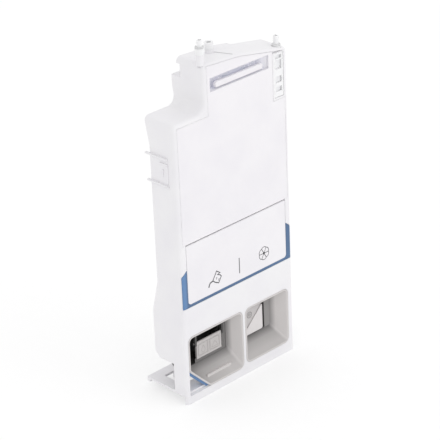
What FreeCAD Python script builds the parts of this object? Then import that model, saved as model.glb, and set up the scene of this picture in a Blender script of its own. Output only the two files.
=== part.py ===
# Detergent dispenser drawer of a washing machine that doses by itself.
# It stands on its front end: X is the width, -Y is the top in use, +Z runs to the rear.
import FreeCAD, Part
import os
import Sketcher

# Driving dimensions in millimetres. Depths count from the drawer's top face towards +Y.
SIZES = {
    # Body
    "drawer_width": 160.0,
    "wall": 2.2,
    "tank_depth": 37.0,
    "tank_front": 119.2,
    "rear_right": 349.0,
    "rear_rise": 12.0,
    "rear_middle_x": 12.0,
    "rear_step": 3.0,
    "shoulder_drop": 50.0,
    "notch_width": 42.7,
    "sump_depth": 45.0,
    "sump_length": 57.0,
    "sump_slope": 40.0,
    "sump_end": 5.0,
    "waist_depth": 32.6,
    "waist_height": 13.5,
    "rear_flange": 37.6,
    "notch_round": 11.0,
    "rear_round": 6.0,
    "edge_round": 4.0,
    "back_round": 2.5,
    "divider_x": 2.0,
    # Cup bay and front plate
    "bay_depth": 44.5,
    "bay_floor": 43.2,
    "bay_chamfer": 6.5,
    "bay_top": 108.0,
    "bulge_top": 98.0,
    "bulge_end": 127.0,
    "leg_depth": 17.8,
    "frame_thick": 3.2,
    "plate_depth": 60.0,
    "plate_bottom": 9.6,
    "plate_thick": 2.6,
    "window_side": 13.0,
    "window_back": 12.5,
    "boss_x": 45.0,
    "boss_depth": 52.0,
    "boss_radius": 4.5,
    "boss_bore": 1.6,
    "hook_size": 4.0,
    "hook_drop": 2.7,
    # Top cover
    "rim_width": 4.5,
    "rear_rim": 2.4,
    "ledge": 2.0,
    "cover_thick": 2.4,
    "cover_low": 182.2,
    "deck_depth": 8.2,
    "deck_thick": 2.0,
    "fill_height": 34.0,
    "fill_z": 147.0,
    "fill_round": 8.0,
    "slot_inset": 8.6,
    "slot_stop": 27.0,
    "slot_drop": 1.0,
    "slot_height": 14.5,
    "slot_depth": 10.0,
    "tray_wall": 1.6,
    "ramp_length": 9.0,
    # Lid
    "lid_side": 8.9,
    "lid_thick": 3.2,
    "lid_corner": 3.6,
    "hinge_z": 179.0,
    "trunnion_radius": 1.0,
    "trunnion_reach": 3.4,
    "frame_low": 111.6,
    "frame_strip": 3.1,
    "band_top": 154.4,
    "band_slant": 8.0,
    "band_depth": 0.9,
    "band_web": 2.2,
    "frame_depth": 4.8,
    "carrier_top": 172.0,
    "seal_width": 4.0,
    # Cups
    "cup_wall": 1.4,
    "flange_width": 0.6,
    "flange_thick": 1.6,
    "cup_depth": 41.0,
    "cup_rise": 1.8,
    "cup_high": 75.6,
    "cup_round": 5.0,
    "powder_margin": 7.4,
    "powder_right": 2.0,
    "powder_cut": 27.0,
    "powder_lean": 10.0,
    "powder_ledge": 1.0,
    "softener_left": 9.5,
    "softener_margin": 9.7,
    "softener_rise": 2.6,
    "softener_lean": 13.8,
    "softener_ledge": 8.0,
    "scoop_depth": 13.0,
    "scoop_drop": 3.9,
    "scoop_round": 5.0,
    "rib_left": -46.5,
    "rib_right": -11.5,
    "rib_depth": 3.6,
    "rib_rise": 9.4,
    "rib_height": 4.4,
    "outlet_width": 34.0,
    "outlet_height": 10.0,
    "bay_outlet_z": 89.0,
    "grip_height": 9.0,
    "grip_thick": 3.0,
    "grip_end": 3.2,
    "grip_rim": 0.6,
    # Flap and siphon
    "flap_left": -53.5,
    "flap_right": -18.0,
    "flap_low": 40.0,
    "flap_hinge_z": 58.4,
    "flap_depth": 10.7,
    "flap_thick": 2.4,
    "flap_pin": 1.0,
    "emboss": 0.5,
    "emboss_line": 0.8,
    "ear_thick": 2.4,
    "ear_lead": 0.9,
    "siphon_x": 27.0,
    "siphon_z": 58.5,
    "siphon_radius": 5.0,
    "siphon_bore": 3.0,
    "siphon_top": 15.0,
    "cap_depth": 8.5,
    "cap_thick": 2.0,
    "cap_right": 41.4,
    "cap_low": 38.5,
    "cap_high": 68.0,
    "sleeve_wall": 1.4,
    "sleeve_gap": 0.9,
    # Release bar
    "bar_start": 8.7,
    "bar_stop": 6.0,
    "bar_rest": 1.1,
    "bar_height": 6.4,
    "bar_top": 1.6,
    "bar_deep": 4.6,
    "stem_spread": 22.0,
    "stem_radius": 2.0,
    "stem_end": 10.4,
    "socket_radius": 3.6,
    "socket_top": 8.0,
    "socket_end": 13.4,
    "spring_thick": 0.5,
    "spring_width": 5.0,
    "spring_half": 14.0,
    # Rear fittings
    "channel_width": 13.6,
    "channel_inset": 5.4,
    "channel_length": 48.0,
    "channel_stop": 3.0,
    "channel_depth": 8.0,
    "grille_depth": 0.4,
    "grille_thick": 1.8,
    "grille_bar": 2.2,
    "grille_slot": 4.0,
    "grille_long_slot": 7.0,
    "grille_low_slot": 5.6,
    "grille_wide_slot": 10.0,
    "grille_gap": 1.4,
    "grille_wide_gap": 7.6,
    "grille_middle_gap": 4.0,
    "right_nozzle_inset": 9.0,
    "right_nozzle_depth": 6.4,
    "right_boss_rise": 0.4,
    "left_nozzle_inset": 2.5,
    "left_nozzle_depth": 6.0,
    "left_boss_rise": 10.0,
    "nozzle_boss": 4.8,
    "left_boss": 3.9,
    "nozzle_radius": 2.8,
    "nozzle_bore": 1.6,
    "nozzle_length": 10.3,
    "left_nozzle_length": 8.0,
    "nozzle_lead": 0.5,
    "nozzle_wall": 1.0,
    "nozzle_step": 0.3,
    "ring_radius": 0.75,
    "collar_radius": 4.8,
    "collar_height": 6.5,
    "stem_depth": 6.0,
    "vent_inset": 33.3,
    "vent_depth": 25.5,
    "vent_boss_rise": 1.5,
    "vent_boss": 5.2,
    "vent_radius": 4.7,
    "vent_bore": 3.4,
    "vent_hole": 2.6,
    "vent_floor": 1.0,
    "vent_height": 7.0,
    # Side guides
    "shoe_low": 245.0,
    "shoe_high": 277.0,
    "shoe_front": 10.0,
    "shoe_back": 40.5,
    "shoe_plate": 0.5,
    "brace_drop": 6.0,
    "brace_length": 11.5,
    "stud_depth": 16.0,
    "stud_low": 12.0,
    "stud_height": 7.0,
    "shoe_rib": 1.6,
    "shoe_stand": 2.6,
    # Level floats
    "detergent_float_x": -16.0,
    "softener_float_x": 36.0,
    "float_drop": 6.0,
    "float_stand": 6.8,
    "float_pin": 1.2,
    "float_width": 26.0,
    "float_length": 30.0,
    "float_thick": 9.0,
    "float_arm": 14.0,
    "float_arm_width": 4.4,
    "float_back_gap": 0.8,
    "float_ear": 3.0,
    "magnet_radius": 3.0,
    "magnet_thick": 2.5,
    # Clearances
    "seat_gap": 0.2,
    "slide_gap": 0.25,
    "running_gap": 0.05,
    "lid_gap": 0.4,
}

doc = FreeCAD.newDocument("detergent_drawer")
sheet = doc.addObject("Spreadsheet::Sheet", "Sizes")
for row, (name, millimetres) in enumerate(SIZES.items(), start=1):
    sheet.set(f"A{row}", name)
    sheet.set(f"B{row}", str(millimetres))
    sheet.setAlias(f"B{row}", name)
doc.recompute()


class Size:
    """A length with the sheet expression that gives it."""

    def __init__(self, value, text):
        self.value = value
        self.text = text

    def __add__(self, other):
        other = as_size(other)
        return Size(self.value + other.value, f"({self.text} + {other.text})")

    def __sub__(self, other):
        other = as_size(other)
        return Size(self.value - other.value, f"({self.text} - {other.text})")

    def __rsub__(self, other):
        return as_size(other) - self

    def __mul__(self, factor):
        return Size(self.value * factor, f"({self.text} * {factor})")

    def __neg__(self):
        return self * -1

    def share(self, part, whole):
        """This length times the ratio of two others."""
        return Size(self.value * part.value / whole.value, f"({self.text} * {part.text} / {whole.text})")

    __radd__ = __add__
    __rmul__ = __mul__


def as_size(item):
    """Take a bare number as a Size."""
    if isinstance(item, Size):
        return item
    return Size(float(item), f"({float(item)})")


def cell(name):
    """Read a driving dimension from the sheet."""
    return Size(float(sheet.get(name)), f"Sizes.{name}")


class Cells:
    """The sheet's cells as attributes."""

    def __getattr__(self, name):
        return cell(name)


S = Cells()
HALF = S.drawer_width * 0.5
FRONT = S.plate_depth * -0.5
NARROW = S.notch_width - HALF
REAR_MIDDLE = S.rear_right + S.rear_rise
REAR_LEFT = REAR_MIDDLE + S.rear_step
SHOULDER = REAR_LEFT - S.shoulder_drop
SUMP_LOW = S.rear_right - S.sump_length
SUMP_HIGH = S.rear_right - S.sump_end
CUP_LOW = S.plate_bottom + S.cup_rise
SOFTENER_LOW = CUP_LOW + S.softener_rise
POWDER_LEFT = S.powder_margin - HALF
SOFTENER_RIGHT = HALF - S.softener_margin
SCOOP_END = CUP_LOW + S.powder_cut - S.scoop_drop
LID_HALF = HALF - S.lid_side
LID_LOW = S.frame_low + S.frame_strip
BAND_INNER = LID_HALF + S.lid_gap
FILL_WIDTH = HALF * 0.55
FILL_X = HALF * 0.43
SLOT_LEFT = NARROW + S.slot_inset
SLOT_RIGHT = HALF - S.slot_stop
SLOT_HIGH = S.rear_right - S.slot_drop
SLOT_LOW = SLOT_HIGH - S.slot_height
BAR_LEFT = SLOT_LEFT + S.bar_start
BAR_RIGHT = SLOT_RIGHT - S.bar_stop
BAR_LOW = SLOT_LOW + S.bar_rest
BAR_HIGH = BAR_LOW + S.bar_height
CHANNEL_RIGHT = HALF - S.channel_inset
CHANNEL_LEFT = CHANNEL_RIGHT - S.channel_width
CHANNEL_HIGH = S.rear_right - S.channel_stop
CHANNEL_LOW = CHANNEL_HIGH - S.channel_length
RIGHT_NOZZLE_X = HALF - S.right_nozzle_inset
RIGHT_BOSS_TOP = S.rear_right + S.right_boss_rise
LEFT_NOZZLE_X = NARROW + S.left_nozzle_inset
LEFT_BOSS_TOP = REAR_LEFT + S.left_boss_rise
VENT_X = NARROW + S.vent_inset
VENT_BOSS_TOP = REAR_LEFT + S.vent_boss_rise


def deep(depth):
    """Y of a depth below the top face."""
    return FRONT + depth


def bind(item, path, size):
    item.setExpression(path, as_size(size).text)


# Sketch and feature helpers


def new_body(label):
    body = doc.addObject("PartDesign::Body", label)
    body.Label = label
    return body


def new_sketch(body, role, offset, shift=(0, 0)):
    """Attach a sketch to one of the body's own planes, moved along its normal and in its plane."""
    plane = next(item for item in body.Origin.OriginFeatures if item.Role == role)
    sketch = body.newObject("Sketcher::SketchObject", f"{body.Label}_sketch")
    sketch.AttachmentSupport = [(plane, "")]
    sketch.MapMode = "FlatFace"
    bind(sketch, "AttachmentOffset.Base.x", shift[0])
    bind(sketch, "AttachmentOffset.Base.y", shift[1])
    bind(sketch, "AttachmentOffset.Base.z", offset)
    return sketch


def pin_point(sketch, geometry, end, across, up):
    """Hold one point of a sketch at two sizes."""
    for kind, size in (("DistanceX", across), ("DistanceY", up)):
        size = as_size(size)
        number = sketch.addConstraint(Sketcher.Constraint(kind, -1, 1, geometry, end, size.value))
        sketch.setExpression(f"Constraints[{number}]", size.text)


def draw_polygon(sketch, points):
    """Draw a closed outline through points, each held by its own sizes."""
    places = [FreeCAD.Vector(as_size(a).value, as_size(b).value, 0) for a, b in points]
    first = sketch.GeometryCount
    count = len(places)
    for number in range(count):
        sketch.addGeometry(Part.LineSegment(places[number], places[(number + 1) % count]), False)
    for number in range(count):
        after = first + (number + 1) % count
        sketch.addConstraint(Sketcher.Constraint("Coincident", first + number, 2, after, 1))
    for number, (across, up) in enumerate(points):
        pin_point(sketch, first + number, 1, across, up)


def draw_circle(sketch, across, up, radius):
    """Draw a circle held by its centre and radius."""
    centre = FreeCAD.Vector(as_size(across).value, as_size(up).value, 0)
    radius = as_size(radius)
    number = sketch.addGeometry(Part.Circle(centre, FreeCAD.Vector(0, 0, 1), radius.value), False)
    pin_point(sketch, number, 3, across, up)
    held = sketch.addConstraint(Sketcher.Constraint("Radius", number, radius.value))
    sketch.setExpression(f"Constraints[{held}]", radius.text)


def draw(sketch, outlines):
    for outline in outlines:
        if isinstance(outline[0], tuple):
            draw_polygon(sketch, outline)
        else:
            draw_circle(sketch, *outline)


def rectangle(left, low, right, high):
    return [(left, low), (right, low), (right, high), (left, high)]


def add(body, role, low, high, *outlines):
    """Pad outlines from low to high along the plane's axis. The XZ plane's normal is -Y."""
    low, high = as_size(low), as_size(high)
    sketch = new_sketch(body, role, -high if role == "XZ_Plane" else low)
    draw(sketch, outlines)
    pad = body.newObject("PartDesign::Pad", f"{body.Label}_pad")
    pad.Profile = sketch
    bind(pad, "Length", high - low)
    doc.recompute()
    return pad


def cut(body, role, low, high, *outlines):
    """Pocket outlines from low to high along the plane's axis, and see that material goes."""
    low, high = as_size(low), as_size(high)
    before = body.Shape.Volume
    sketch = new_sketch(body, role, -low if role == "XZ_Plane" else high)
    draw(sketch, outlines)
    pocket = body.newObject("PartDesign::Pocket", f"{body.Label}_pocket")
    pocket.Profile = sketch
    bind(pocket, "Length", high - low)
    doc.recompute()
    if body.Shape.Volume >= before:
        raise RuntimeError(f"{pocket.Label} cuts nothing")
    return pocket


def revolve(body, x, y, outline):
    """Turn an outline of radius and height round an upright axis at x, y."""
    sketch = new_sketch(body, "XZ_Plane", -as_size(y), (x, 0))
    draw_polygon(sketch, outline)
    turned = body.newObject("PartDesign::Revolution", f"{body.Label}_turned")
    turned.Profile = sketch
    turned.ReferenceAxis = (sketch, ["V_Axis"])
    turned.Angle = 360.0
    doc.recompute()
    return turned


def edges_where(body, test):
    return [f"Edge{number}" for number, edge in enumerate(body.Shape.Edges, start=1) if test(edge)]


def round_edges(body, size, test):
    base = body.Tip
    names = edges_where(body, test)
    if not names:
        raise RuntimeError(f"{body.Label} has no edge to round")
    rounded = body.newObject("PartDesign::Fillet", f"{body.Label}_round")
    rounded.Base = (base, names)
    bind(rounded, "Radius", size)
    doc.recompute()
    return rounded


NEAR = 0.02
ROOT_TWO = 2 ** 0.5


def runs_along(edge, axis):
    """True for a straight edge parallel to axis 0, 1 or 2."""
    start, end = edge.Vertexes[0].Point, edge.Vertexes[-1].Point
    span = [abs(a - b) for a, b in zip(start, end)]
    return span[axis] > NEAR and all(span[other] < NEAR for other in range(3) if other != axis)


def at_corner(axis, corners):
    """Pick straight edges along an axis that pass through corners in the other two directions."""
    sides = [other for other in range(3) if other != axis]
    places = [tuple(as_size(item).value for item in corner) for corner in corners]

    def test(edge):
        if not runs_along(edge, axis):
            return False
        point = edge.Vertexes[0].Point
        return any(all(abs(point[side] - value) < NEAR for side, value in zip(sides, place))
                   for place in places)

    return test


def in_plane(axis, place, above=None):
    """Pick edges that lie in a plane square to an axis, above a height where one is given."""
    place = as_size(place).value

    def test(edge):
        box = edge.BoundBox
        low = (box.XMin, box.YMin, box.ZMin)[axis]
        high = (box.XMax, box.YMax, box.ZMax)[axis]
        flat = abs(low - place) < NEAR and abs(high - place) < NEAR
        return flat and (above is None or box.ZMax > as_size(above).value + NEAR)

    return test


# Shared outlines


def tank_outline(low, inset, rear_inset):
    """The tank seen from its top face, with the notch at its left rear corner."""
    return [
        (inset - HALF, low),
        (HALF - inset, low),
        (HALF - inset, S.rear_right - rear_inset),
        (S.rear_middle_x, REAR_MIDDLE - rear_inset),
        (NARROW + inset, REAR_LEFT - rear_inset),
        (NARROW + inset, SHOULDER - inset),
        (inset - HALF, SHOULDER - inset),
    ]


def cup_outline(left, low, right, high, corner, grow):
    """A cup's mouth, with its left front corner cut off where corner isn't zero."""
    points = rectangle(left - grow, low - grow, right + grow, high + grow)
    if corner is None:
        return points
    short = corner + grow * (2 - ROOT_TWO)
    return [(left - grow, low - grow + short), (left - grow + short, low - grow)] + points[1:]


def powder_outline(grow):
    return cup_outline(POWDER_LEFT, CUP_LOW, S.powder_right, S.cup_high, S.powder_cut, grow)


def softener_outline(grow):
    return cup_outline(S.softener_left, SOFTENER_LOW, SOFTENER_RIGHT, S.cup_high, None, grow)


def powder_frame_outline(grow):
    """The frame's left opening keeps its square corner, which leaves a finger hole at the cup's cut."""
    return rectangle(POWDER_LEFT - grow, CUP_LOW - grow, S.powder_right + grow, S.cup_high + grow)


POWDER_MIDDLE = (POWDER_LEFT + S.powder_right) * 0.5


def outlet_outline(middle, height, grow):
    """A rectangular outlet in a cup's back wall, as wide for both cups."""
    across = S.outlet_width * 0.5 + grow
    up = S.outlet_height * 0.5 + grow
    return rectangle(middle - across, height - up, middle + across, height + up)


OVERLAP = 0.3
OVERRUN = 1.0
BLOCK_LEFT = CHANNEL_LEFT - S.wall
BLOCK_LOW = CHANNEL_LOW - S.wall
STEM_ROOM = S.nozzle_bore + S.nozzle_wall
RING_SEAT = S.nozzle_radius + S.nozzle_step
RING_ROOM = (S.ring_radius + S.running_gap) * 2
DECK_BACK = S.deck_depth + S.deck_thick
LID_POCKET = LID_HALF + S.lid_gap
TANK_BACK = S.tank_depth - S.wall
SUMP_BACK = S.sump_depth - S.wall
SUMP_BEND = SUMP_LOW + S.sump_slope
FLOAT_PIVOT = (deep(TANK_BACK - S.float_stand), SUMP_LOW - S.float_drop)
HINGE_DEPTH = S.lid_thick * 0.5
FLANGE_ROOM = S.flange_width + S.cup_wall + S.slide_gap
WALL_ROOM = S.cup_wall + S.slide_gap
WEB_END = BAND_INNER + S.band_web


def build_drawer_body():
    """The moulded tub: tank, cup bay, front frame and the plate that carries the front panel."""
    body = new_body("drawer_body")
    add(body, "XZ_Plane", FRONT, deep(S.sump_depth), tank_outline(S.tank_front, 0, 0))
    beyond = deep(S.sump_depth + OVERRUN)
    cut(body, "YZ_Plane", -HALF - OVERRUN, HALF + OVERRUN, [
        (deep(S.tank_depth), S.tank_front - OVERRUN),
        (deep(S.tank_depth), SUMP_LOW),
        (deep(S.sump_depth), SUMP_BEND),
        (deep(S.sump_depth), SUMP_HIGH),
        (deep(S.waist_depth), SUMP_HIGH),
        (deep(S.waist_depth), SUMP_HIGH + S.waist_height),
        (deep(S.rear_flange), SUMP_HIGH + S.waist_height),
        (deep(S.rear_flange), REAR_LEFT + OVERRUN),
        (beyond, REAR_LEFT + OVERRUN),
        (beyond, S.tank_front - OVERRUN),
    ])
    bay_profile = [
        (FRONT, 0),
        (deep(S.frame_thick), 0),
        (deep(S.frame_thick), S.plate_bottom),
        (deep(S.plate_depth), S.plate_bottom),
        (deep(S.plate_depth), S.plate_bottom + S.plate_thick),
        (deep(S.leg_depth), S.plate_bottom + S.plate_thick),
        (deep(S.leg_depth), S.bay_floor),
        (deep(S.bay_depth - S.bay_chamfer), S.bay_floor),
        (deep(S.bay_depth), S.bay_floor + S.bay_chamfer),
        (deep(S.bay_depth), S.bulge_top),
        (deep(S.tank_depth), S.bulge_end),
        (FRONT, S.bulge_end),
    ]
    add(body, "YZ_Plane", -HALF, HALF, bay_profile)
    round_edges(body, S.notch_round, at_corner(1, [(NARROW, SHOULDER)]))
    round_edges(body, S.rear_round, at_corner(1, [
        (HALF, S.rear_right), (NARROW, REAR_LEFT), (-HALF, SHOULDER)]))
    round_edges(body, S.edge_round, in_plane(1, FRONT, above=0))
    round_edges(body, S.back_round, at_corner(2, [(-HALF, deep(S.tank_depth)), (HALF, deep(S.tank_depth))]))

    # Frame openings for the cups
    for room, back in ((WALL_ROOM, S.frame_thick), (FLANGE_ROOM, S.flange_thick)):
        cut(body, "XZ_Plane", FRONT, deep(back), powder_frame_outline(room), softener_outline(room))
        round_edges(body, S.cup_round + room,
                    at_corner(1, powder_frame_outline(room)[1:] + softener_outline(room)))

    # Hollows: cup bay, tank, and the mouths that the top cover closes
    inner = HALF - S.wall
    bay_hollow = [
        (deep(S.frame_thick), S.plate_bottom + S.plate_thick),
        (deep(S.bay_depth + OVERRUN), S.plate_bottom + S.plate_thick),
        (deep(S.bay_depth + OVERRUN), S.bay_floor - NEAR),
        (deep(S.bay_depth - S.bay_chamfer - S.wall), S.bay_floor - NEAR),
        (deep(S.bay_depth - S.wall), S.bay_floor + S.bay_chamfer),
        (deep(S.bay_depth - S.wall), S.bulge_top),
        (deep(S.tank_depth), S.tank_front - S.wall),
        (deep(DECK_BACK), S.tank_front - S.wall),
        (deep(DECK_BACK), S.bay_top),
        (deep(S.frame_thick), S.bay_top),
    ]
    cut(body, "YZ_Plane", -inner, inner, bay_hollow)
    cover_back = S.cover_thick + S.ledge
    tank_low = S.cover_low + S.wall
    cut(body, "XZ_Plane", deep(cover_back), deep(S.waist_depth - S.wall),
        tank_outline(tank_low, S.wall, S.wall))
    waist_back = deep(S.waist_depth - S.wall - OVERRUN)
    bend_low = SHOULDER - S.wall
    bend_back = TANK_BACK + (S.sump_depth - S.tank_depth).share(bend_low - SUMP_LOW, S.sump_slope)
    for left, floor in (
            (-inner, [(deep(bend_back), bend_low), (waist_back, bend_low)]),
            (NARROW + S.wall, [(deep(SUMP_BACK), SUMP_BEND), (deep(SUMP_BACK), SUMP_HIGH - S.wall),
                               (waist_back, SUMP_HIGH - S.wall)])):
        cut(body, "YZ_Plane", left, inner, [(waist_back, tank_low), (deep(TANK_BACK), tank_low),
                                            (deep(TANK_BACK), SUMP_LOW)] + floor)
    cut(body, "XZ_Plane", deep(DECK_BACK + S.ledge), deep(TANK_BACK),
        rectangle(-inner, S.tank_front, inner, tank_low + OVERRUN))
    cut(body, "XZ_Plane", deep(S.cover_thick), deep(cover_back),
        tank_outline(tank_low, S.rim_width + S.ledge, S.rear_rim + S.ledge))
    tray_room = S.tray_wall + S.seat_gap
    cut(body, "XZ_Plane", deep(S.cover_thick), deep(cover_back),
        rectangle(SLOT_LEFT - tray_room, SLOT_LOW - tray_room, SLOT_RIGHT + tray_room, SLOT_HIGH + tray_room))
    cut(body, "XZ_Plane", FRONT, deep(S.cover_thick),
        tank_outline(S.cover_low, S.rim_width, S.rear_rim))
    cut(body, "XZ_Plane", FRONT, deep(DECK_BACK),
        rectangle(-LID_POCKET, S.tank_front, LID_POCKET, tank_low))
    deck_mouth = LID_POCKET - S.ledge
    cut(body, "XZ_Plane", deep(DECK_BACK), deep(DECK_BACK + S.ledge),
        rectangle(-deck_mouth, S.tank_front, deck_mouth, tank_low))

    # Room for the blue lid frame and its side bands
    band_gap = S.lid_gap
    frame_room = S.frame_depth + S.slide_gap
    over = HALF + OVERRUN
    low = S.frame_low - band_gap
    slant_start = S.band_top - S.band_slant + band_gap
    band_edge = BAND_INNER - band_gap
    web_edge = WEB_END + band_gap
    for side in (-1, 1):
        cut(body, "XZ_Plane", FRONT, deep(S.band_depth + S.slide_gap), [
            (side * (LID_POCKET - OVERRUN), low),
            (side * over, low),
            (side * over, slant_start),
            (side * band_edge, S.band_top + band_gap),
            (side * (LID_POCKET - OVERRUN), S.band_top + band_gap),
        ])
        cut(body, "XZ_Plane", FRONT, deep(frame_room), [
            (side * (LID_POCKET - OVERRUN), low),
            (side * web_edge, low),
            (side * web_edge, slant_start),
            (side * (LID_POCKET - OVERRUN), slant_start),
        ])
    cut(body, "XZ_Plane", FRONT, deep(frame_room),
        rectangle(-LID_POCKET, low, LID_POCKET, S.tank_front + OVERLAP))
    trunnion_bore = S.trunnion_radius + S.running_gap
    for side in (-1, 1):
        ends = [side * (LID_POCKET - OVERLAP), side * (LID_HALF + S.trunnion_reach + S.slide_gap)]
        ends.sort(key=lambda size: size.value)
        cut(body, "YZ_Plane", ends[0], ends[1], (deep(HINGE_DEPTH), S.hinge_z, trunnion_bore))

    # Divider between the two tanks, stepped under the slot's tray
    tray_back = S.slot_depth + tray_room
    add(body, "YZ_Plane", S.divider_x - S.wall * 0.5, S.divider_x + S.wall * 0.5, [
        (deep(DECK_BACK), S.tank_front - OVERRUN),
        (deep(TANK_BACK + OVERRUN), S.tank_front - OVERRUN),
        (deep(TANK_BACK + OVERRUN), SUMP_LOW),
        (deep(SUMP_BACK + OVERRUN), SUMP_BEND),
        (deep(SUMP_BACK + OVERRUN), SUMP_HIGH - OVERRUN),
        (deep(S.waist_depth - OVERRUN), SUMP_HIGH - OVERRUN),
        (deep(S.waist_depth - OVERRUN), REAR_MIDDLE - S.wall + OVERRUN),
        (deep(tray_back), REAR_MIDDLE - S.wall + OVERRUN),
        (deep(tray_back), SLOT_LOW - tray_room),
        (deep(S.cover_thick), SLOT_LOW - tray_room),
        (deep(S.cover_thick), tank_low + S.wall),
        (deep(DECK_BACK), tank_low + S.wall),
    ])

    # Ears on the tank's floor for the level floats
    ear = S.float_ear * 0.5
    reach = S.float_pin + S.wall
    pivot = FLOAT_PIVOT
    for middle in (S.detergent_float_x, S.softener_float_x):
        add(body, "YZ_Plane", middle - ear, middle + ear,
            rectangle(pivot[0] - reach, pivot[1] - reach, deep(TANK_BACK + OVERLAP), pivot[1] + reach))
        cut(body, "YZ_Plane", middle - ear, middle + ear, (*pivot, S.float_pin + S.running_gap))

    # Outlets behind the cups
    cut(body, "XZ_Plane", deep(S.bay_depth - S.wall), deep(S.bay_depth + OVERRUN),
        outlet_outline(POWDER_MIDDLE, S.bay_outlet_z, 0),
        outlet_outline(S.siphon_x, S.siphon_z, S.slide_gap))

    # Plate window, panel bosses and corner hooks
    plate_top = S.plate_bottom + S.plate_thick
    window = HALF - S.window_side
    cut(body, "XY_Plane", S.plate_bottom, plate_top,
        rectangle(-window, deep(S.leg_depth + S.wall), window, deep(S.plate_depth - S.window_back)))
    add(body, "XY_Plane", 0, S.plate_bottom + OVERLAP,
        (-S.boss_x, deep(S.boss_depth), S.boss_radius), (S.boss_x, deep(S.boss_depth), S.boss_radius))
    cut(body, "XY_Plane", 0, plate_top,
        (-S.boss_x, deep(S.boss_depth), S.boss_bore), (S.boss_x, deep(S.boss_depth), S.boss_bore))
    hook_low = S.plate_bottom - S.hook_drop
    hook_front = deep(S.plate_depth - S.hook_size)
    add(body, "XY_Plane", hook_low, S.plate_bottom + OVERLAP,
        rectangle(-HALF, hook_front, S.hook_size - HALF, deep(S.plate_depth)),
        rectangle(HALF - S.hook_size, hook_front, HALF, deep(S.plate_depth)))

    # Channel at the right rear corner
    block_right = HALF - S.rim_width + OVERLAP
    add(body, "XZ_Plane", FRONT, deep(S.channel_depth + S.wall),
        rectangle(BLOCK_LEFT, BLOCK_LOW, block_right, S.rear_right - S.wall))
    cut(body, "XZ_Plane", FRONT, deep(S.channel_depth),
        rectangle(CHANNEL_LEFT, CHANNEL_LOW, CHANNEL_RIGHT, CHANNEL_HIGH))

    # Bosses for the nozzles and the vent
    right = (RIGHT_NOZZLE_X, deep(S.right_nozzle_depth))
    left = (LEFT_NOZZLE_X, deep(S.left_nozzle_depth))
    vent = (VENT_X, deep(S.vent_depth))
    add(body, "XY_Plane", CHANNEL_HIGH, RIGHT_BOSS_TOP, (*right, S.nozzle_boss))
    cut(body, "XY_Plane", RIGHT_BOSS_TOP, REAR_LEFT, (*right, S.nozzle_boss + S.seat_gap))
    add(body, "XY_Plane", REAR_LEFT - S.wall + OVERLAP, LEFT_BOSS_TOP, (*left, S.left_boss))
    add(body, "XY_Plane", REAR_LEFT - S.wall * 2, VENT_BOSS_TOP, (*vent, S.vent_boss))
    cut(body, "XY_Plane", CHANNEL_HIGH - OVERRUN, RIGHT_BOSS_TOP, (*right, STEM_ROOM))
    cut(body, "XY_Plane", LEFT_BOSS_TOP - S.stem_depth, LEFT_BOSS_TOP, (*left, STEM_ROOM))
    cut(body, "XY_Plane", REAR_LEFT - S.wall * 2, LEFT_BOSS_TOP, (*left, S.nozzle_bore))
    cut(body, "XY_Plane", REAR_LEFT - S.wall * 3, VENT_BOSS_TOP, (*vent, S.vent_bore))
    return body


def build_top_cover():
    """The cover over the tanks: plate, step down to the filling deck, and the slot's tray."""
    body = new_body("top_cover")
    gap = S.seat_gap
    tank_low = S.cover_low + S.wall - gap
    across = LID_POCKET - gap
    add(body, "XZ_Plane", FRONT, deep(S.cover_thick),
        tank_outline(S.cover_low, S.rim_width + gap, S.rear_rim + gap))
    cut(body, "XZ_Plane", FRONT, deep(S.cover_thick),
        rectangle(BLOCK_LEFT - gap, BLOCK_LOW - gap, HALF, REAR_LEFT))
    add(body, "XZ_Plane", FRONT, deep(DECK_BACK), rectangle(-across, S.cover_low, across, tank_low))
    deck_low = S.tank_front + gap
    add(body, "XZ_Plane", deep(S.deck_depth), deep(DECK_BACK), rectangle(-across, deck_low, across, tank_low))
    cut(body, "XZ_Plane", deep(S.deck_depth), deep(DECK_BACK), fill_outline(-1, 0), fill_outline(1, 0))
    round_edges(body, S.fill_round, at_corner(1, fill_outline(-1, 0) + fill_outline(1, 0)))
    rim = S.tray_wall
    add(body, "XZ_Plane", FRONT, deep(S.slot_depth + rim),
        rectangle(SLOT_LEFT - rim, SLOT_LOW - rim, SLOT_RIGHT + rim, SLOT_HIGH + rim))
    cut(body, "XZ_Plane", FRONT, deep(S.slot_depth),
        rectangle(SLOT_LEFT, SLOT_LOW, SLOT_RIGHT, SLOT_HIGH))
    add(body, "XY_Plane", SLOT_LOW - OVERLAP, SLOT_HIGH + OVERLAP, [
        (SLOT_RIGHT - S.ramp_length, deep(S.slot_depth + OVERLAP)),
        (SLOT_RIGHT + OVERLAP, deep(S.cover_thick)),
        (SLOT_RIGHT + OVERLAP, deep(S.slot_depth + OVERLAP)),
    ])
    sockets = stem_places()
    add(body, "XZ_Plane", deep(S.socket_top), deep(S.socket_end + rim),
        *[(x, z, S.socket_radius) for x, z in sockets])
    cut(body, "XZ_Plane", deep(S.socket_top), deep(S.socket_end),
        *[(x, z, S.stem_radius + S.running_gap) for x, z in sockets])
    return body


def fill_outline(side, grow):
    """The filling hole of one tank, grown for the seal round it."""
    across = FILL_WIDTH * 0.5 + grow
    up = S.fill_height * 0.5 + grow
    return rectangle(side * FILL_X - across, S.fill_z - up, side * FILL_X + across, S.fill_z + up)


def stem_places():
    middle = (BAR_LEFT + BAR_RIGHT) * 0.5
    height = (BAR_LOW + BAR_HIGH) * 0.5
    return [(middle - S.stem_spread, height), (middle + S.stem_spread, height)]


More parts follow.
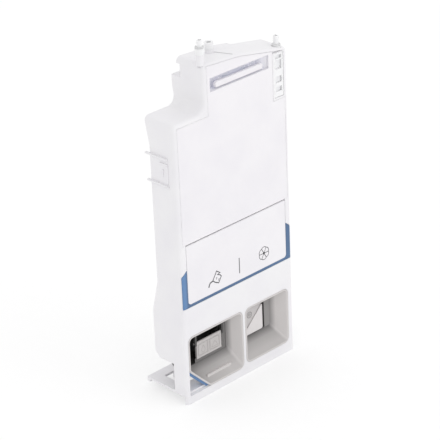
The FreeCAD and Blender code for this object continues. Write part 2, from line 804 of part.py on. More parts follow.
def build_lid_cover():
    """The white filling lid, hinged on trunnions at its rounded rear edge."""
    body = new_body("lid_cover")
    add(body, "XZ_Plane", FRONT, deep(S.lid_thick),
        rectangle(-LID_HALF, LID_LOW, LID_HALF, S.hinge_z))
    round_edges(body, S.lid_corner, at_corner(1, [(-LID_HALF, LID_LOW), (LID_HALF, LID_LOW)]))
    add(body, "YZ_Plane", -LID_HALF, LID_HALF, (deep(HINGE_DEPTH), S.hinge_z, HINGE_DEPTH))
    reach = LID_HALF + S.trunnion_reach
    add(body, "YZ_Plane", -reach, reach, (deep(HINGE_DEPTH), S.hinge_z, S.trunnion_radius))
    return body


def build_lid_frame():
    """The blue carrier behind the lid, whose sides wrap round the drawer's edges."""
    body = new_body("lid_frame")
    slant = S.band_top - S.band_slant
    add(body, "XZ_Plane", FRONT, deep(S.frame_depth), [
        (-HALF, S.frame_low),
        (HALF, S.frame_low),
        (HALF, slant),
        (BAND_INNER, S.band_top),
        (BAND_INNER, LID_LOW),
        (-BAND_INNER, LID_LOW),
        (-BAND_INNER, S.band_top),
        (-HALF, slant),
    ])
    round_edges(body, S.edge_round, at_corner(2, [(-HALF, FRONT), (HALF, FRONT)]))
    round_edges(body, S.lid_corner + S.lid_gap, at_corner(1, [(-BAND_INNER, LID_LOW), (BAND_INNER, LID_LOW)]))
    cut(body, "XZ_Plane", deep(S.band_depth), deep(S.frame_depth),
        rectangle(-HALF, S.frame_low, -WEB_END, S.band_top), rectangle(WEB_END, S.frame_low, HALF, S.band_top))
    cut(body, "XZ_Plane", deep(S.band_depth), deep(S.frame_depth),
        rectangle(-WEB_END, slant, -BAND_INNER, S.band_top), rectangle(BAND_INNER, slant, WEB_END, S.band_top))
    across = LID_HALF - S.lid_gap
    add(body, "XZ_Plane", deep(S.lid_thick), deep(S.frame_depth),
        rectangle(-BAND_INNER - OVERLAP, LID_LOW - OVERLAP, BAND_INNER + OVERLAP, slant))
    add(body, "XZ_Plane", deep(S.lid_thick), deep(S.frame_depth),
        rectangle(-across, LID_LOW, across, S.carrier_top))
    return body


def build_lid_seal(label, side):
    """A rubber ring on the lid that closes one filling hole."""
    body = new_body(label)
    low, high = deep(S.frame_depth), deep(S.deck_depth - S.seat_gap)
    outer = fill_outline(side, S.seal_width)
    inner = fill_outline(side, S.seal_width * 0.25)
    add(body, "XZ_Plane", low, high, outer, inner)
    round_edges(body, S.fill_round, at_corner(1, inner))
    round_edges(body, S.fill_round + S.seal_width, at_corner(1, outer))
    return body


def build_cup(label, outline, low, right, lean, well):
    """A funnel whose floor and right side slope in from the rim, with a deep well behind it."""
    body = new_body(label)
    wall = S.cup_wall
    half_wall = wall * 0.5
    back = deep(S.cup_depth)
    bend = deep(S.scoop_depth)
    rim = wall + S.flange_width
    left = well[-1][0]
    well_right = well[-2][0]
    high = S.cup_high
    add(body, "XZ_Plane", FRONT, back, outline(wall))
    add(body, "XZ_Plane", FRONT, deep(S.flange_thick), outline(rim))
    mouth = outline(as_size(0))
    cut(body, "XZ_Plane", FRONT, bend, mouth)
    round_edges(body, S.cup_round, at_corner(1, mouth[:-3] + mouth[-2:]))
    add(body, "YZ_Plane", left - half_wall, right + half_wall, [
        (FRONT, low),
        (FRONT, low - half_wall),
        (bend, low - half_wall),
        (bend, SCOOP_END),
    ])
    add(body, "XY_Plane", low - half_wall, high + half_wall, [
        (right, FRONT),
        (right - lean, bend),
        (right + half_wall, bend),
        (right + half_wall, FRONT),
    ])
    round_edges(body, S.scoop_round, crease_between((right, FRONT, low), (right - lean, bend, SCOOP_END)))
    if outline is powder_outline:
        trim_corner(body)
    for grow in (wall, rim):
        round_edges(body, S.cup_round + grow, at_corner(1, outline(grow)))
    cut(body, "XZ_Plane", bend, back - wall, well)

    # Heel that clears the bay's chamfer, then the outer side trimmed to the wall's thickness
    heel = S.bay_floor + S.bay_chamfer - SCOOP_END
    heel_front = back - heel - wall * ROOT_TWO
    add(body, "YZ_Plane", left - half_wall, well_right + half_wall, [
        (heel_front, SCOOP_END),
        (heel_front, SCOOP_END - half_wall),
        (back, SCOOP_END - half_wall),
        (back, SCOOP_END + heel + wall * ROOT_TWO),
    ])
    beyond = back + OVERRUN
    cut(body, "YZ_Plane", left - rim, right + rim, [
        (deep(S.flange_thick), low - wall),
        (bend + wall, SCOOP_END - wall),
        (back - heel - wall, SCOOP_END - wall),
        (back, SCOOP_END + heel),
        (beyond, SCOOP_END + heel),
        (beyond, low - rim - OVERRUN),
        (deep(S.flange_thick), low - rim - OVERRUN),
    ])
    cut(body, "XY_Plane", low - rim, high + rim, [
        (right + wall, deep(S.flange_thick)),
        (right - lean + wall, bend + wall),
        (well_right + wall, bend + wall),
        (well_right + wall, beyond),
        (right + rim + OVERRUN, beyond),
        (right + rim + OVERRUN, deep(S.flange_thick)),
    ])
    return body


def trim_corner(body):
    """Clear the outside of the powder cup's cut corner, behind its flange and beside it."""
    for grow, front in ((S.cup_wall + S.flange_width, FRONT), (S.cup_wall, deep(S.flange_thick))):
        upper, lower = powder_outline(grow)[:2]
        cut(body, "XZ_Plane", front, deep(S.cup_depth), [
            (upper[0] - OVERRUN, upper[1] + OVERRUN),
            (upper[0] - OVERRUN, lower[1] - OVERRUN),
            (lower[0] + OVERRUN, lower[1] - OVERRUN),
        ])


def crease_between(start, end):
    """Pick the slanted edge between two points."""
    ends = [FreeCAD.Vector(*[as_size(item).value for item in place]) for place in (start, end)]

    def test(edge):
        places = [vertex.Point for vertex in edge.Vertexes]
        return all(any((place - target).Length < NEAR for place in places) for target in ends)

    return test


def build_powder_cup():
    """The left cup, with a cut corner and the ears that carry its flap."""
    well_right = S.powder_right - S.powder_lean - S.powder_ledge
    body = build_cup("powder_cup", powder_outline, CUP_LOW, S.powder_right, S.powder_lean, [
        (POWDER_LEFT, SCOOP_END + S.scoop_drop),
        (POWDER_LEFT + S.scoop_drop, SCOOP_END),
        (well_right, SCOOP_END),
        (well_right, S.cup_high),
        (POWDER_LEFT, S.cup_high),
    ])
    rib_low = CUP_LOW + S.rib_rise - S.rib_height
    add(body, "XY_Plane", rib_low, CUP_LOW + S.rib_rise,
        rectangle(S.rib_left, deep(S.rib_depth), S.rib_right, deep(S.rib_depth + S.rib_height * 0.6)))
    outlet = S.outlet_width * 0.5
    outlet_back = deep(S.cup_depth - S.cup_wall)
    cut(body, "XY_Plane", S.cup_high, S.cup_high + S.cup_wall,
        rectangle(POWDER_MIDDLE - outlet, outlet_back - S.outlet_height, POWDER_MIDDLE + outlet, outlet_back))
    ear_front = S.flap_depth - S.ear_lead
    ear_back = S.flap_depth + S.flap_thick + S.ear_thick
    pivot = (deep(S.flap_depth + S.flap_thick * 0.5), S.flap_hinge_z)
    for low, high in ear_spans():
        add(body, "YZ_Plane", low, high,
            rectangle(deep(ear_front), S.flap_hinge_z - S.ear_thick, deep(ear_back), S.cup_high + OVERLAP))
        cut(body, "YZ_Plane", low, high, (*pivot, S.flap_pin + S.running_gap))
    return body


def ear_spans():
    """Left and right X of the two ears beside the flap."""
    return [
        (S.flap_left - S.slide_gap - S.ear_thick, S.flap_left - S.slide_gap),
        (S.flap_right + S.slide_gap, S.flap_right + S.slide_gap + S.ear_thick),
    ]


def build_softener_cup():
    """The right cup, with the siphon's standpipe in its deep end."""
    well_right = SOFTENER_RIGHT - S.softener_lean - S.softener_ledge
    body = build_cup("softener_cup", softener_outline, SOFTENER_LOW, SOFTENER_RIGHT, S.softener_lean,
                     rectangle(S.softener_left, SCOOP_END, well_right, S.cup_high))
    add(body, "XZ_Plane", deep(S.siphon_top), deep(S.cup_depth),
        (S.siphon_x, S.siphon_z, S.siphon_radius))
    cut(body, "XZ_Plane", deep(S.siphon_top), deep(S.cup_depth),
        (S.siphon_x, S.siphon_z, S.siphon_bore))
    return body


def build_liquid_flap():
    """The flap that folds down for liquid, with two raised picture frames."""
    body = new_body("liquid_flap")
    low, high = deep(S.flap_depth), deep(S.flap_depth + S.flap_thick)
    add(body, "XZ_Plane", low, high, rectangle(S.flap_left, S.flap_low, S.flap_right, S.flap_hinge_z))
    pivot = (deep(S.flap_depth + S.flap_thick * 0.5), S.flap_hinge_z)
    add(body, "YZ_Plane", S.flap_left, S.flap_right, (*pivot, S.flap_thick * 0.5))
    reach = S.slide_gap + S.ear_thick
    add(body, "YZ_Plane", S.flap_left - reach, S.flap_right + reach, (*pivot, S.flap_pin))
    margin = S.flap_thick
    middle = (S.flap_left + S.flap_right) * 0.5
    top = S.flap_hinge_z - margin
    line = S.emboss_line
    frames = [(S.flap_left + margin, middle - margin * 0.5), (middle + margin * 0.5, S.flap_right - margin)]
    for left, right in frames:
        add(body, "XZ_Plane", low - S.emboss, low + OVERLAP,
            rectangle(left, S.flap_low + margin, right, top),
            rectangle(left + line, S.flap_low + margin + line, right - line, top - line))
    return body


def build_siphon_cap():
    """The lift-off cap over the standpipe, folded along its diagonal."""
    body = new_body("siphon_cap")
    left = S.softener_left + S.slide_gap * 2
    low, high = deep(S.cap_depth), deep(S.cap_depth + S.cap_thick)
    outline = rectangle(left, S.cap_low, S.cap_right, S.cap_high)
    add(body, "XZ_Plane", low, high, outline)
    round_edges(body, S.cap_thick, at_corner(1, outline))
    fold = S.cap_thick * 0.5
    cut(body, "XZ_Plane", low, low + fold, [
        (left, S.cap_low),
        (S.cap_right, S.cap_high),
        (left, S.cap_high),
    ])
    inner = S.siphon_radius + S.sleeve_gap
    end = deep(S.cup_depth - S.cup_wall - S.seat_gap)
    axis = (S.siphon_x, S.siphon_z)
    add(body, "XZ_Plane", low + fold, end, (*axis, inner + S.sleeve_wall), (*axis, inner))
    return body


def build_cup_grip():
    """The blue strip along the left cup's cut corner."""
    body = new_body("cup_grip")
    upper, lower = powder_outline(S.cup_wall)[:2]
    across = S.grip_thick * ROOT_TWO
    for trim, back in ((S.grip_rim, S.frame_thick - S.slide_gap), (S.grip_end, S.grip_height)):
        add(body, "XZ_Plane", deep(S.flange_thick), deep(back), [
            (upper[0] + trim, upper[1] - trim),
            (lower[0] - trim, lower[1] + trim),
            (lower[0] - trim - across, lower[1] + trim),
            (upper[0] + trim, upper[1] - trim - across),
        ])
    return body


def build_release_bar():
    """The rounded bar in the slot, pushed to free the drawer."""
    body = new_body("release_bar")
    outline = rectangle(BAR_LEFT, BAR_LOW, BAR_RIGHT, BAR_HIGH)
    add(body, "XZ_Plane", deep(S.bar_top), deep(S.bar_deep), outline)
    round_edges(body, (BAR_HIGH - BAR_LOW) * 0.45, at_corner(1, outline))
    round_edges(body, (S.bar_deep - S.bar_top) * 0.4, in_plane(1, deep(S.bar_top)))
    add(body, "XZ_Plane", deep(S.bar_deep) - OVERLAP, deep(S.stem_end),
        *[(x, z, S.stem_radius) for x, z in stem_places()])
    return body


def build_release_spring():
    """A bent steel leaf between the tray and the bar."""
    body = new_body("release_spring")
    middle = (BAR_LEFT + BAR_RIGHT) * 0.5
    height = (BAR_LOW + BAR_HIGH) * 0.5
    thick = S.spring_thick
    crown = S.spring_half * 0.35
    top = deep(S.bar_deep) + S.running_gap
    floor = deep(S.slot_depth) - S.running_gap
    half = S.spring_half
    add(body, "XY_Plane", height - S.spring_width * 0.5, height + S.spring_width * 0.5, [
        (middle - crown, top),
        (middle + crown, top),
        (middle + half - thick, floor - thick),
        (middle + half + thick * 2, floor - thick),
        (middle + half + thick * 2, floor),
        (middle + half - thick * 2, floor),
        (middle + crown - thick, top + thick),
        (middle - crown + thick, top + thick),
        (middle - half + thick * 2, floor),
        (middle - half - thick * 2, floor),
        (middle - half - thick * 2, floor - thick),
        (middle - half + thick, floor - thick),
    ])
    return body


def build_nozzle(label, x, depth, seat, stem_end, collar, collar_height, length):
    """A hollow docking nozzle with a stem in its boss and a chamfered tip."""
    body = new_body(label)
    stem = STEM_ROOM - S.running_gap
    tip = seat + collar_height + length
    lead = S.nozzle_lead
    revolve(body, x, deep(depth), [
        (S.nozzle_bore, stem_end),
        (stem, stem_end),
        (stem, seat),
        (collar, seat),
        (collar, seat + collar_height),
        (RING_SEAT, seat + collar_height),
        (RING_SEAT, seat + collar_height + RING_ROOM),
        (S.nozzle_radius, seat + collar_height + RING_ROOM),
        (S.nozzle_radius, tip - lead),
        (S.nozzle_radius - lead, tip),
        (S.nozzle_bore, tip),
    ])
    return body


def build_nozzle_ring(label, x, depth, seat):
    """The sealing ring that lies on a nozzle's collar."""
    body = new_body(label)
    sketch = new_sketch(body, "XZ_Plane", -deep(depth), (x, 0))
    draw_circle(sketch, RING_SEAT + S.ring_radius + S.running_gap,
                seat + S.ring_radius + S.running_gap, S.ring_radius)
    ring = body.newObject("PartDesign::Revolution", f"{label}_turned")
    ring.Profile = sketch
    ring.ReferenceAxis = (sketch, ["V_Axis"])
    ring.Angle = 360.0
    doc.recompute()
    return body


def build_vent_spigot():
    """The spigot that lets air into the tanks, with a stem in its boss and a thin valve floor."""
    body = new_body("vent_spigot")
    seat = VENT_BOSS_TOP
    stem = S.vent_bore - S.running_gap
    bore = S.vent_hole
    foot = seat - S.stem_depth
    revolve(body, VENT_X, deep(S.vent_depth), [
        (as_size(0), foot),
        (stem, foot),
        (stem, seat),
        (S.vent_radius, seat),
        (S.vent_radius, seat + S.vent_height),
        (bore, seat + S.vent_height),
        (bore, foot + S.vent_floor),
        (as_size(0), foot + S.vent_floor),
    ])
    return body


def build_suction_grille():
    """The ladder strip that covers the suction channel."""
    body = new_body("suction_grille")
    gap = S.slide_gap
    bar = S.grille_bar
    left, right = CHANNEL_LEFT + gap, CHANNEL_RIGHT - gap
    low, high = CHANNEL_LOW + gap, CHANNEL_HIGH - gap
    front, back = deep(S.grille_depth), deep(S.grille_depth + S.grille_thick)
    add(body, "XZ_Plane", front, back, rectangle(left, low, right, high))
    top = high - bar
    windows = [
        (as_size(0), S.grille_slot),
        (S.grille_gap, S.grille_wide_slot),
        (S.grille_wide_gap, S.grille_long_slot),
        (S.grille_middle_gap, S.grille_low_slot),
    ]
    for gap_above, height in windows:
        top = top - gap_above
        cut(body, "XZ_Plane", front, back, rectangle(left + bar, top - height, right - bar, top))
        top = top - height
    add(body, "XZ_Plane", back - OVERLAP, deep(S.channel_depth),
        rectangle(left, low, left + bar, high), rectangle(right - bar, low, right, high))
    return body


def build_float(label, middle):
    """A level float that swings on a fork over its ear, with a pocket for the magnet."""
    body = new_body(label)
    back = deep(TANK_BACK - S.float_back_gap)
    pivot = FLOAT_PIVOT
    top = pivot[1] - S.float_arm
    half = S.float_width * 0.5
    add(body, "XZ_Plane", back - S.float_thick, back,
        rectangle(middle - half, top - S.float_length, middle + half, top))
    inner = S.float_ear * 0.5 + S.slide_gap
    outer = inner + S.wall
    arm = S.float_arm_width * 0.5
    sides = [(middle - outer, middle - inner), (middle + inner, middle + outer)]
    for low, high in sides:
        add(body, "YZ_Plane", low, high,
            rectangle(pivot[0] - arm, top - OVERLAP, pivot[0] + arm, pivot[1] + arm))
    add(body, "YZ_Plane", middle - outer, middle + outer, (*pivot, S.float_pin))
    cut(body, "XZ_Plane", back - S.magnet_thick, back,
        (middle, top - S.float_length * 0.5, S.magnet_radius + S.running_gap))
    return body


def build_magnet(label, middle):
    """The magnet in a float's back, which the level sensor reads."""
    body = new_body(label)
    back = deep(TANK_BACK - S.float_back_gap)
    height = FLOAT_PIVOT[1] - S.float_arm - S.float_length * 0.5
    add(body, "XZ_Plane", back - S.magnet_thick, back, (middle, height, S.magnet_radius))
    return body


def build_guide_shoe(label, side):
    """A side runner: a plate on the tank's wall with two ledges, a brace and a stud."""
    body = new_body(label)
    wall = side * HALF

    def span(stand):
        return (wall, wall + stand) if side > 0 else (wall - stand, wall)

    rib = S.shoe_rib
    front, back = deep(S.shoe_front), deep(S.shoe_back)
    plate_back = deep(S.tank_depth - S.back_round)
    add(body, "YZ_Plane", *span(S.shoe_plate), rectangle(front, S.shoe_low, plate_back, S.shoe_high))
    add(body, "YZ_Plane", *span(S.shoe_stand),
        rectangle(front, S.shoe_high - rib, back, S.shoe_high),
        rectangle(front, S.shoe_low + rib, back - rib, S.shoe_low + rib * 2))
    brace = S.shoe_high - S.brace_drop
    stud = S.shoe_low + S.stud_low
    add(body, "YZ_Plane", *span(S.shoe_rib),
        rectangle(front, brace - rib, front + S.brace_length, brace),
        rectangle(deep(S.stud_depth), stud, deep(S.stud_depth) + rib, stud + S.stud_height))
    return body


def finish():
    """Check every object, then write each body to its own file."""
    doc.recompute()
    for item in doc.Objects:
        if {"Invalid", "Error"} & set(item.State):
            raise RuntimeError(f"{item.Label} failed: {item.State}")
    os.makedirs("parts", exist_ok=True)
    for item in doc.Objects:
        if item.TypeId == "PartDesign::Body":
            shape = item.Shape
            if shape.isNull() or not shape.isValid():
                raise RuntimeError(f"{item.Label} has no valid shape")
            shape.exportStep(f"parts/{item.Label}.step")
            print(f"{item.Label}: {len(shape.Solids)} solid, {shape.Volume / 1000:.1f} cm3")


build_drawer_body()
build_top_cover()
build_lid_cover()
build_lid_frame()
build_lid_seal("detergent_seal", -1)
build_lid_seal("softener_seal", 1)
build_powder_cup()
build_softener_cup()
build_liquid_flap()
build_siphon_cap()
build_cup_grip()
build_release_bar()
build_release_spring()
build_nozzle("detergent_nozzle", LEFT_NOZZLE_X, S.left_nozzle_depth, LEFT_BOSS_TOP,
             LEFT_BOSS_TOP - S.stem_depth, S.collar_radius, S.collar_height, S.left_nozzle_length)
build_nozzle("softener_nozzle", RIGHT_NOZZLE_X, S.right_nozzle_depth, RIGHT_BOSS_TOP,
             CHANNEL_HIGH, S.nozzle_boss, S.wall, S.nozzle_length)
build_nozzle_ring("detergent_ring", LEFT_NOZZLE_X, S.left_nozzle_depth,
                  LEFT_BOSS_TOP + S.collar_height)
build_nozzle_ring("softener_ring", RIGHT_NOZZLE_X, S.right_nozzle_depth, RIGHT_BOSS_TOP + S.wall)
build_vent_spigot()
build_suction_grille()
build_float("detergent_float", S.detergent_float_x)
build_float("softener_float", S.softener_float_x)
build_magnet("detergent_magnet", S.detergent_float_x)
build_magnet("softener_magnet", S.softener_float_x)
build_guide_shoe("guide_shoe_left", -1)
build_guide_shoe("guide_shoe_right", 1)
finish()
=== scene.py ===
import math

import bmesh
import bpy
from mathutils import Matrix, Vector


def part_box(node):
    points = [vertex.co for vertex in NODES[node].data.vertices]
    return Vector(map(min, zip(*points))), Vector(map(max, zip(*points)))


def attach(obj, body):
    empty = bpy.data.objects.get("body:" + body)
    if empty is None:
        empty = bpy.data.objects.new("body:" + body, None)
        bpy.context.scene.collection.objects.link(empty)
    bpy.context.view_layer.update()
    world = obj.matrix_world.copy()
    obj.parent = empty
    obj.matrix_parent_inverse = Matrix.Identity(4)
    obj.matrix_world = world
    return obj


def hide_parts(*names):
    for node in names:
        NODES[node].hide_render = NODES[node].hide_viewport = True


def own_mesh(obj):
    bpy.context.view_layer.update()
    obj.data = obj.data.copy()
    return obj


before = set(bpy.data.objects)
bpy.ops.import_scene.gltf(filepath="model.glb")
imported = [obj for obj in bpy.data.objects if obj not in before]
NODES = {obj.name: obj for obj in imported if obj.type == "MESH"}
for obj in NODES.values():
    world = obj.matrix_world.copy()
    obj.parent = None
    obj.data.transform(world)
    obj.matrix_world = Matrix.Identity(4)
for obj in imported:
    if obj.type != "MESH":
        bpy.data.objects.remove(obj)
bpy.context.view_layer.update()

bl_info = {
    "name": "Detergent drawer looks",
    "version": (1, 0, 0),
    "blender": (4, 5, 0),
    "location": "3D View > Sidebar > Drawer",
    "description": "Finishes, printed signs, light and camera of a washing machine's detergent drawer",
    "category": "Object",
}

MM = 0.001
# The drawer's top side in use. Depths are measured from here.
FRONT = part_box("drawer_body")[0].y

# Thickness of a printed or laser-marked line
PRINT = 0.04 * MM
# Least cosine at a line's corner, so that a sharp corner reaches out no further than the line's width
SHARPEST = 0.5
# Points of a drawn ring
RING_POINTS = 24
# Petals of the flower, and points along the edge of each
PETALS, PETAL_POINTS = 6, 8
# The flower's notches, spokes and heart, as shares of its radius
NOTCH, SPOKE, HEART = 0.1, 0.85, 0.12

# Lines of a drop and of a heap of powder, in millimetres from their middle
DROP = [
    (0.0, 4.6), (-2.2, 0.6), (-2.6, -1.2), (-1.6, -3.2), (0.0, -3.8), (1.6, -3.2), (2.6, -1.2), (2.2, 0.6)]
HEAP = [(-4.2, -3.4), (-2.2, 0.4), (0.0, 2.6), (2.2, 0.4), (4.2, -3.4)]

# Lines of the tilted bottle, its label and its stream, in millimetres from the bottle's place
BOTTLE = [
    (-4.4, -1.3), (1.4, 7.8), (6.2, 4.2), (2.6, 3.4), (6.2, 1.6), (7.8, -0.3), (3.8, -6.7), (-1.0, -4.2)]
LABEL = ([(1.6, 1.0), (0.6, -1.6)], [(4.6, -1.6), (3.6, -4.0)])
STREAM = [(-4.0, -1.6), (-7.7, -2.2), (-9.2, -3.7), (-10.3, -6.8)]

# Size of the soft clouds in a moulding's colour
MOTTLE_MM = 38.0
# How far light spreads inside a white or milky moulding
SPREAD_MM = 1.5
# Pitch of the screen's threads as drawn, twice the real one to show
PITCH_MM = 1.0
# Period of a wave texture at a scale of 1
WAVE_PERIOD = 0.314
# Length and width of the lines rolled into steel as drawn, coarser than the real ones to show
ROLL_LONG_MM, ROLL_WIDE_MM = 12.5, 0.5556
# Size of the clouds in the paper's tone
PAPER_MM = 60.0

# Half the floor's side, and the far end of the camera's view, in metres
FLOOR_HALF = 4.0
VIEW_END = 20.0
# Sensor on which the focal length is given, in millimetres
SENSOR_WIDTH = 36.0
# A height above the drawer's rear end, in metres
OVERHEAD = 1.0


def from_hex(text):
    """Turn an sRGB hex colour into linear red, green and blue."""
    channels = [int(text[start:start + 2], 16) / 255 for start in (1, 3, 5)]
    return tuple(c / 12.92 if c <= 0.04045 else ((c + 0.055) / 1.055) ** 2.4 for c in channels)


def colour(name, text, description):
    """Declare a colour that a user can change, given as an sRGB hex value."""
    return bpy.props.FloatVectorProperty(
        name=name, description=description, subtype="COLOR", size=3, min=0.0, max=1.0, default=from_hex(text))


def length(name, millimetres, description):
    """Declare a length that a user can change."""
    return bpy.props.FloatProperty(
        name=name, description=description, subtype="DISTANCE", unit="LENGTH", default=millimetres * MM)


def angle(name, degrees, description):
    """Declare an angle that a user can change."""
    return bpy.props.FloatProperty(
        name=name, description=description, subtype="ANGLE", unit="ROTATION", default=math.radians(degrees))


def spot(name, millimetres, description):
    """Declare a place that a user can change, in a plane or in space."""
    return bpy.props.FloatVectorProperty(
        name=name, description=description, subtype="TRANSLATION", unit="LENGTH", size=len(millimetres),
        default=tuple(value * MM for value in millimetres))


class DrawerColours(bpy.types.PropertyGroup):
    """Colours of the drawer's pieces and their print."""

    body: colour("Body", "#EAE9EB", "White of the moulded tub")
    cover: colour("Cover", "#EBE9EC", "White of the top cover and the lid")
    shade: colour("Mottle", "#E3E1E6", "Slightly deeper white that mottles the mouldings")
    # Colour of the painted glow in the slot
    slot_painted_glow_colour: colour("Slot light", "#B4BEDA", "Light that the slot's thin walls pass on")
    blue: colour("Blue", "#6086B5", "Blue of the lid carrier and the cup's grip")
    cup: colour("Cups", "#CECAC9", "Warm grey of the two cups")
    flap: colour("Flap", "#C2BEBD", "Grey of the hinged flap")
    cap: colour("Siphon cap", "#DAD6D6", "Pale grey of the siphon cap")
    mark: colour("Marks", "#A29E9D", "Grey of the marks on the flap and the siphon cap")
    natural: colour("Nozzles", "#EDEDEE", "Milky natural plastic of the nozzles and the grille")
    screen: colour("Screen", "#F0F0F2", "Pale grey of the woven screen behind the grille")
    rubber: colour("Seals", "#4A4A4C", "Dark grey rubber of the lid's seals")
    coat: colour("Spring coat", "#DDDFE3", "Silver grey of the spring's coat")
    steel: colour("Magnets", "#B9BBBE", "Bright steel of the magnets")
    steel_line: colour("Magnet lines", "#8F9296", "Duller lines in the magnets' steel")
    ink: colour("Print", "#4B4B4F", "Dark grey ink of the signs")


class SignSizes(bpy.types.PropertyGroup):
    """Places and sizes of the signs printed on the lid."""

    line: length("Line width", 1.1, "Width of a printed line")
    thin_line: length("Thin line width", 0.75, "Width of the flower's lines and of the small marks")
    stream_line: length("Stream width", 1.54, "Width of the stream from the bottle")
    bottle_x: length("Bottle across", -32.0, "Middle of the pouring bottle from the drawer's middle")
    bottle_z: length("Bottle height", 130.0, "Middle of the pouring bottle above the floor")
    flower_x: length("Flower across", 38.3, "Middle of the flower from the drawer's middle")
    flower_z: length("Flower height", 131.5, "Middle of the flower above the floor")
    flower_radius: length("Flower radius", 7.4, "Reach of the petals")
    divider_x: length("Divider across", 2.1, "Place of the upright line between the signs")
    divider_low: length("Divider foot", 122.4, "Lower end of the upright line")
    divider_high: length("Divider top", 140.0, "Upper end of the upright line")


class TrimSizes(bpy.types.PropertyGroup):
    """Places and sizes of the cups' strip of painted shade and marks, the grille's screen and the line on the
    rear end.
    """

    # The sill is a dark strip of painted shade behind the flap
    shade_strip_left: length("Sill left", -54.0, "Left end of the sill under the flap")
    shade_strip_right: length("Sill right", -12.2, "Middle of the sill's upright strip beside the flap")
    shade_strip_low: length("Sill height", 36.8, "Middle of the sill under the flap above the floor")
    shade_strip_high: length("Sill top", 66.0, "Upper end of the sill's upright strip")
    shade_strip_width: length("Sill width", 5.6, "Width of the sill's strips")
    shade_strip_thick: length("Sill thickness", 0.4, "Thickness of the sill's strips")
    shade_strip_depth: length("Sill depth", 13.8, "Depth of the sill's back")
    flap_mark_z: length("Flap marks height", 48.6, "Middle of the flap's marks above the floor")
    flap_mark_apart: length("Flap marks apart", 8.3, "From the flap's middle to the middle of a mark")
    flap_depth: length("Flap depth", 10.7, "Depth of the flap's face")
    cap_mark_x: length("Cap mark across", 23.2, "Middle of the siphon cap's mark from the drawer's middle")
    cap_mark_z: length("Cap mark height", 60.9, "Middle of the siphon cap's mark above the floor")
    cap_mark_outer: length("Cap mark radius", 3.3, "Radius of the mark's outer ring")
    cap_mark_inner: length("Cap mark heart", 1.3, "Radius of the mark's inner ring")
    cap_depth: length("Cap depth", 9.5, "Depth of the siphon cap's face")
    screen_edge: length("Screen edge", 2.5, "From the grille's edge to the screen's")
    screen_depth: length("Screen depth", 2.3, "Depth of the screen's face")
    screen_thick: length("Screen thickness", 0.25, "Thickness of the woven screen")
    rear_line_start: spot("Rear line start", (-0.6, -8.6), "End of the rear end's line near the vent")
    rear_line_end: spot("Rear line end", (7.8, -25.6), "End of the rear end's line near the slot")
    rear_line_width: length("Rear line width", 0.9, "Width of the rear end's line")
    rear_line_rise: length("Rear line rise", 0.25, "How far the line stands above the rear end")


class StageSettings(bpy.types.PropertyGroup):
    """Camera and light."""

    azimuth: angle("Azimuth", -43.582, "Camera's turn round the drawer")
    elevation: angle("Elevation", 26.191, "Camera's height above the horizon")
    roll: angle("Roll", -2.417, "Camera's tilt about its own axis")
    lens: bpy.props.FloatProperty(
        name="Lens", description="Focal length on a 36 mm sensor", subtype="DISTANCE_CAMERA", default=161.59)
    distance: length("Distance", 1988.6, "From the camera to the point it looks at")
    target: spot("Target", (-22.68, -30.0, 192.74), "The point that the camera looks at")
    sky: bpy.props.FloatProperty(name="Sky", description="Strength of the even light", default=1.0)
    key: bpy.props.FloatProperty(
        name="Key light", description="Power of the large front light", unit="POWER", default=7.0)
    softbox_size: length("Softbox size", 1600.0, "Side of the large front light")
    softbox_place: spot("Softbox place", (900.0, -2000.0, 1600.0), "Place of the large front light")
    softbox_aim: spot("Softbox aim", (0.0, 0.0, 190.0), "The point that the front light faces")


def add_node(tree, kind, inputs=None, **settings):
    """Add a node, set its own settings, and fill its inputs or link them, a node by its first output."""
    node = tree.nodes.new(kind)
    for name, value in settings.items():
        setattr(node, name, value)
    for socket, source in (inputs or {}).items():
        if isinstance(source, bpy.types.Node):
            source = next(output for output in source.outputs if output.enabled)
        if isinstance(source, bpy.types.NodeSocket):
            tree.links.new(source, node.inputs[socket])
        else:
            node.inputs[socket].default_value = source
    return node


def rgba(values):
    """Add an alpha of 1 to a colour, as sockets take it."""
    return (*values, 1.0)


def toned(values, share):
    """Darken or lighten a colour to a share of itself."""
    return tuple(min(1.0, value * share) for value in values)


def new_material(name):
    """Start an empty node material, and give its tree and the place on the piece."""
    material = bpy.data.materials.new(name)
    material.use_nodes = True
    tree = material.node_tree
    tree.nodes.clear()
    return material, tree, add_node(tree, "ShaderNodeTexCoord").outputs["Object"]


def fade(tree, axes, *rows):
    """Multiply fades: each row has its axis, where it starts and ends, and the shares there."""
    share = 1.0
    for axis, start, end, first, last in rows:
        step = add_node(tree, "ShaderNodeMapRange", {
            "Value": axes[axis], "From Min": start, "From Max": end, "To Min": first, "To Max": last})
        share = add_node(tree, "ShaderNodeMath", {0: share, 1: step}, operation="MULTIPLY")
    return share


def cap_fold_shade(tree, axes):
    """Painted shade that darkens the siphon cap in its folds."""
    return fade(tree, axes, ("behind", FRONT + 8.7 * MM, FRONT + 9.3 * MM, 1.0, 0.78))


def carrier_gap_shade(tree, axes):
    """Painted shade: the lid carrier lies in the shade of the gap round the lid, apart from its open left
    side.
    """
    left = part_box("lid_frame")[0].x
    return fade(tree, axes, ("across", left + 4.0 * MM, left + 7.0 * MM, 1.0, 0.6))


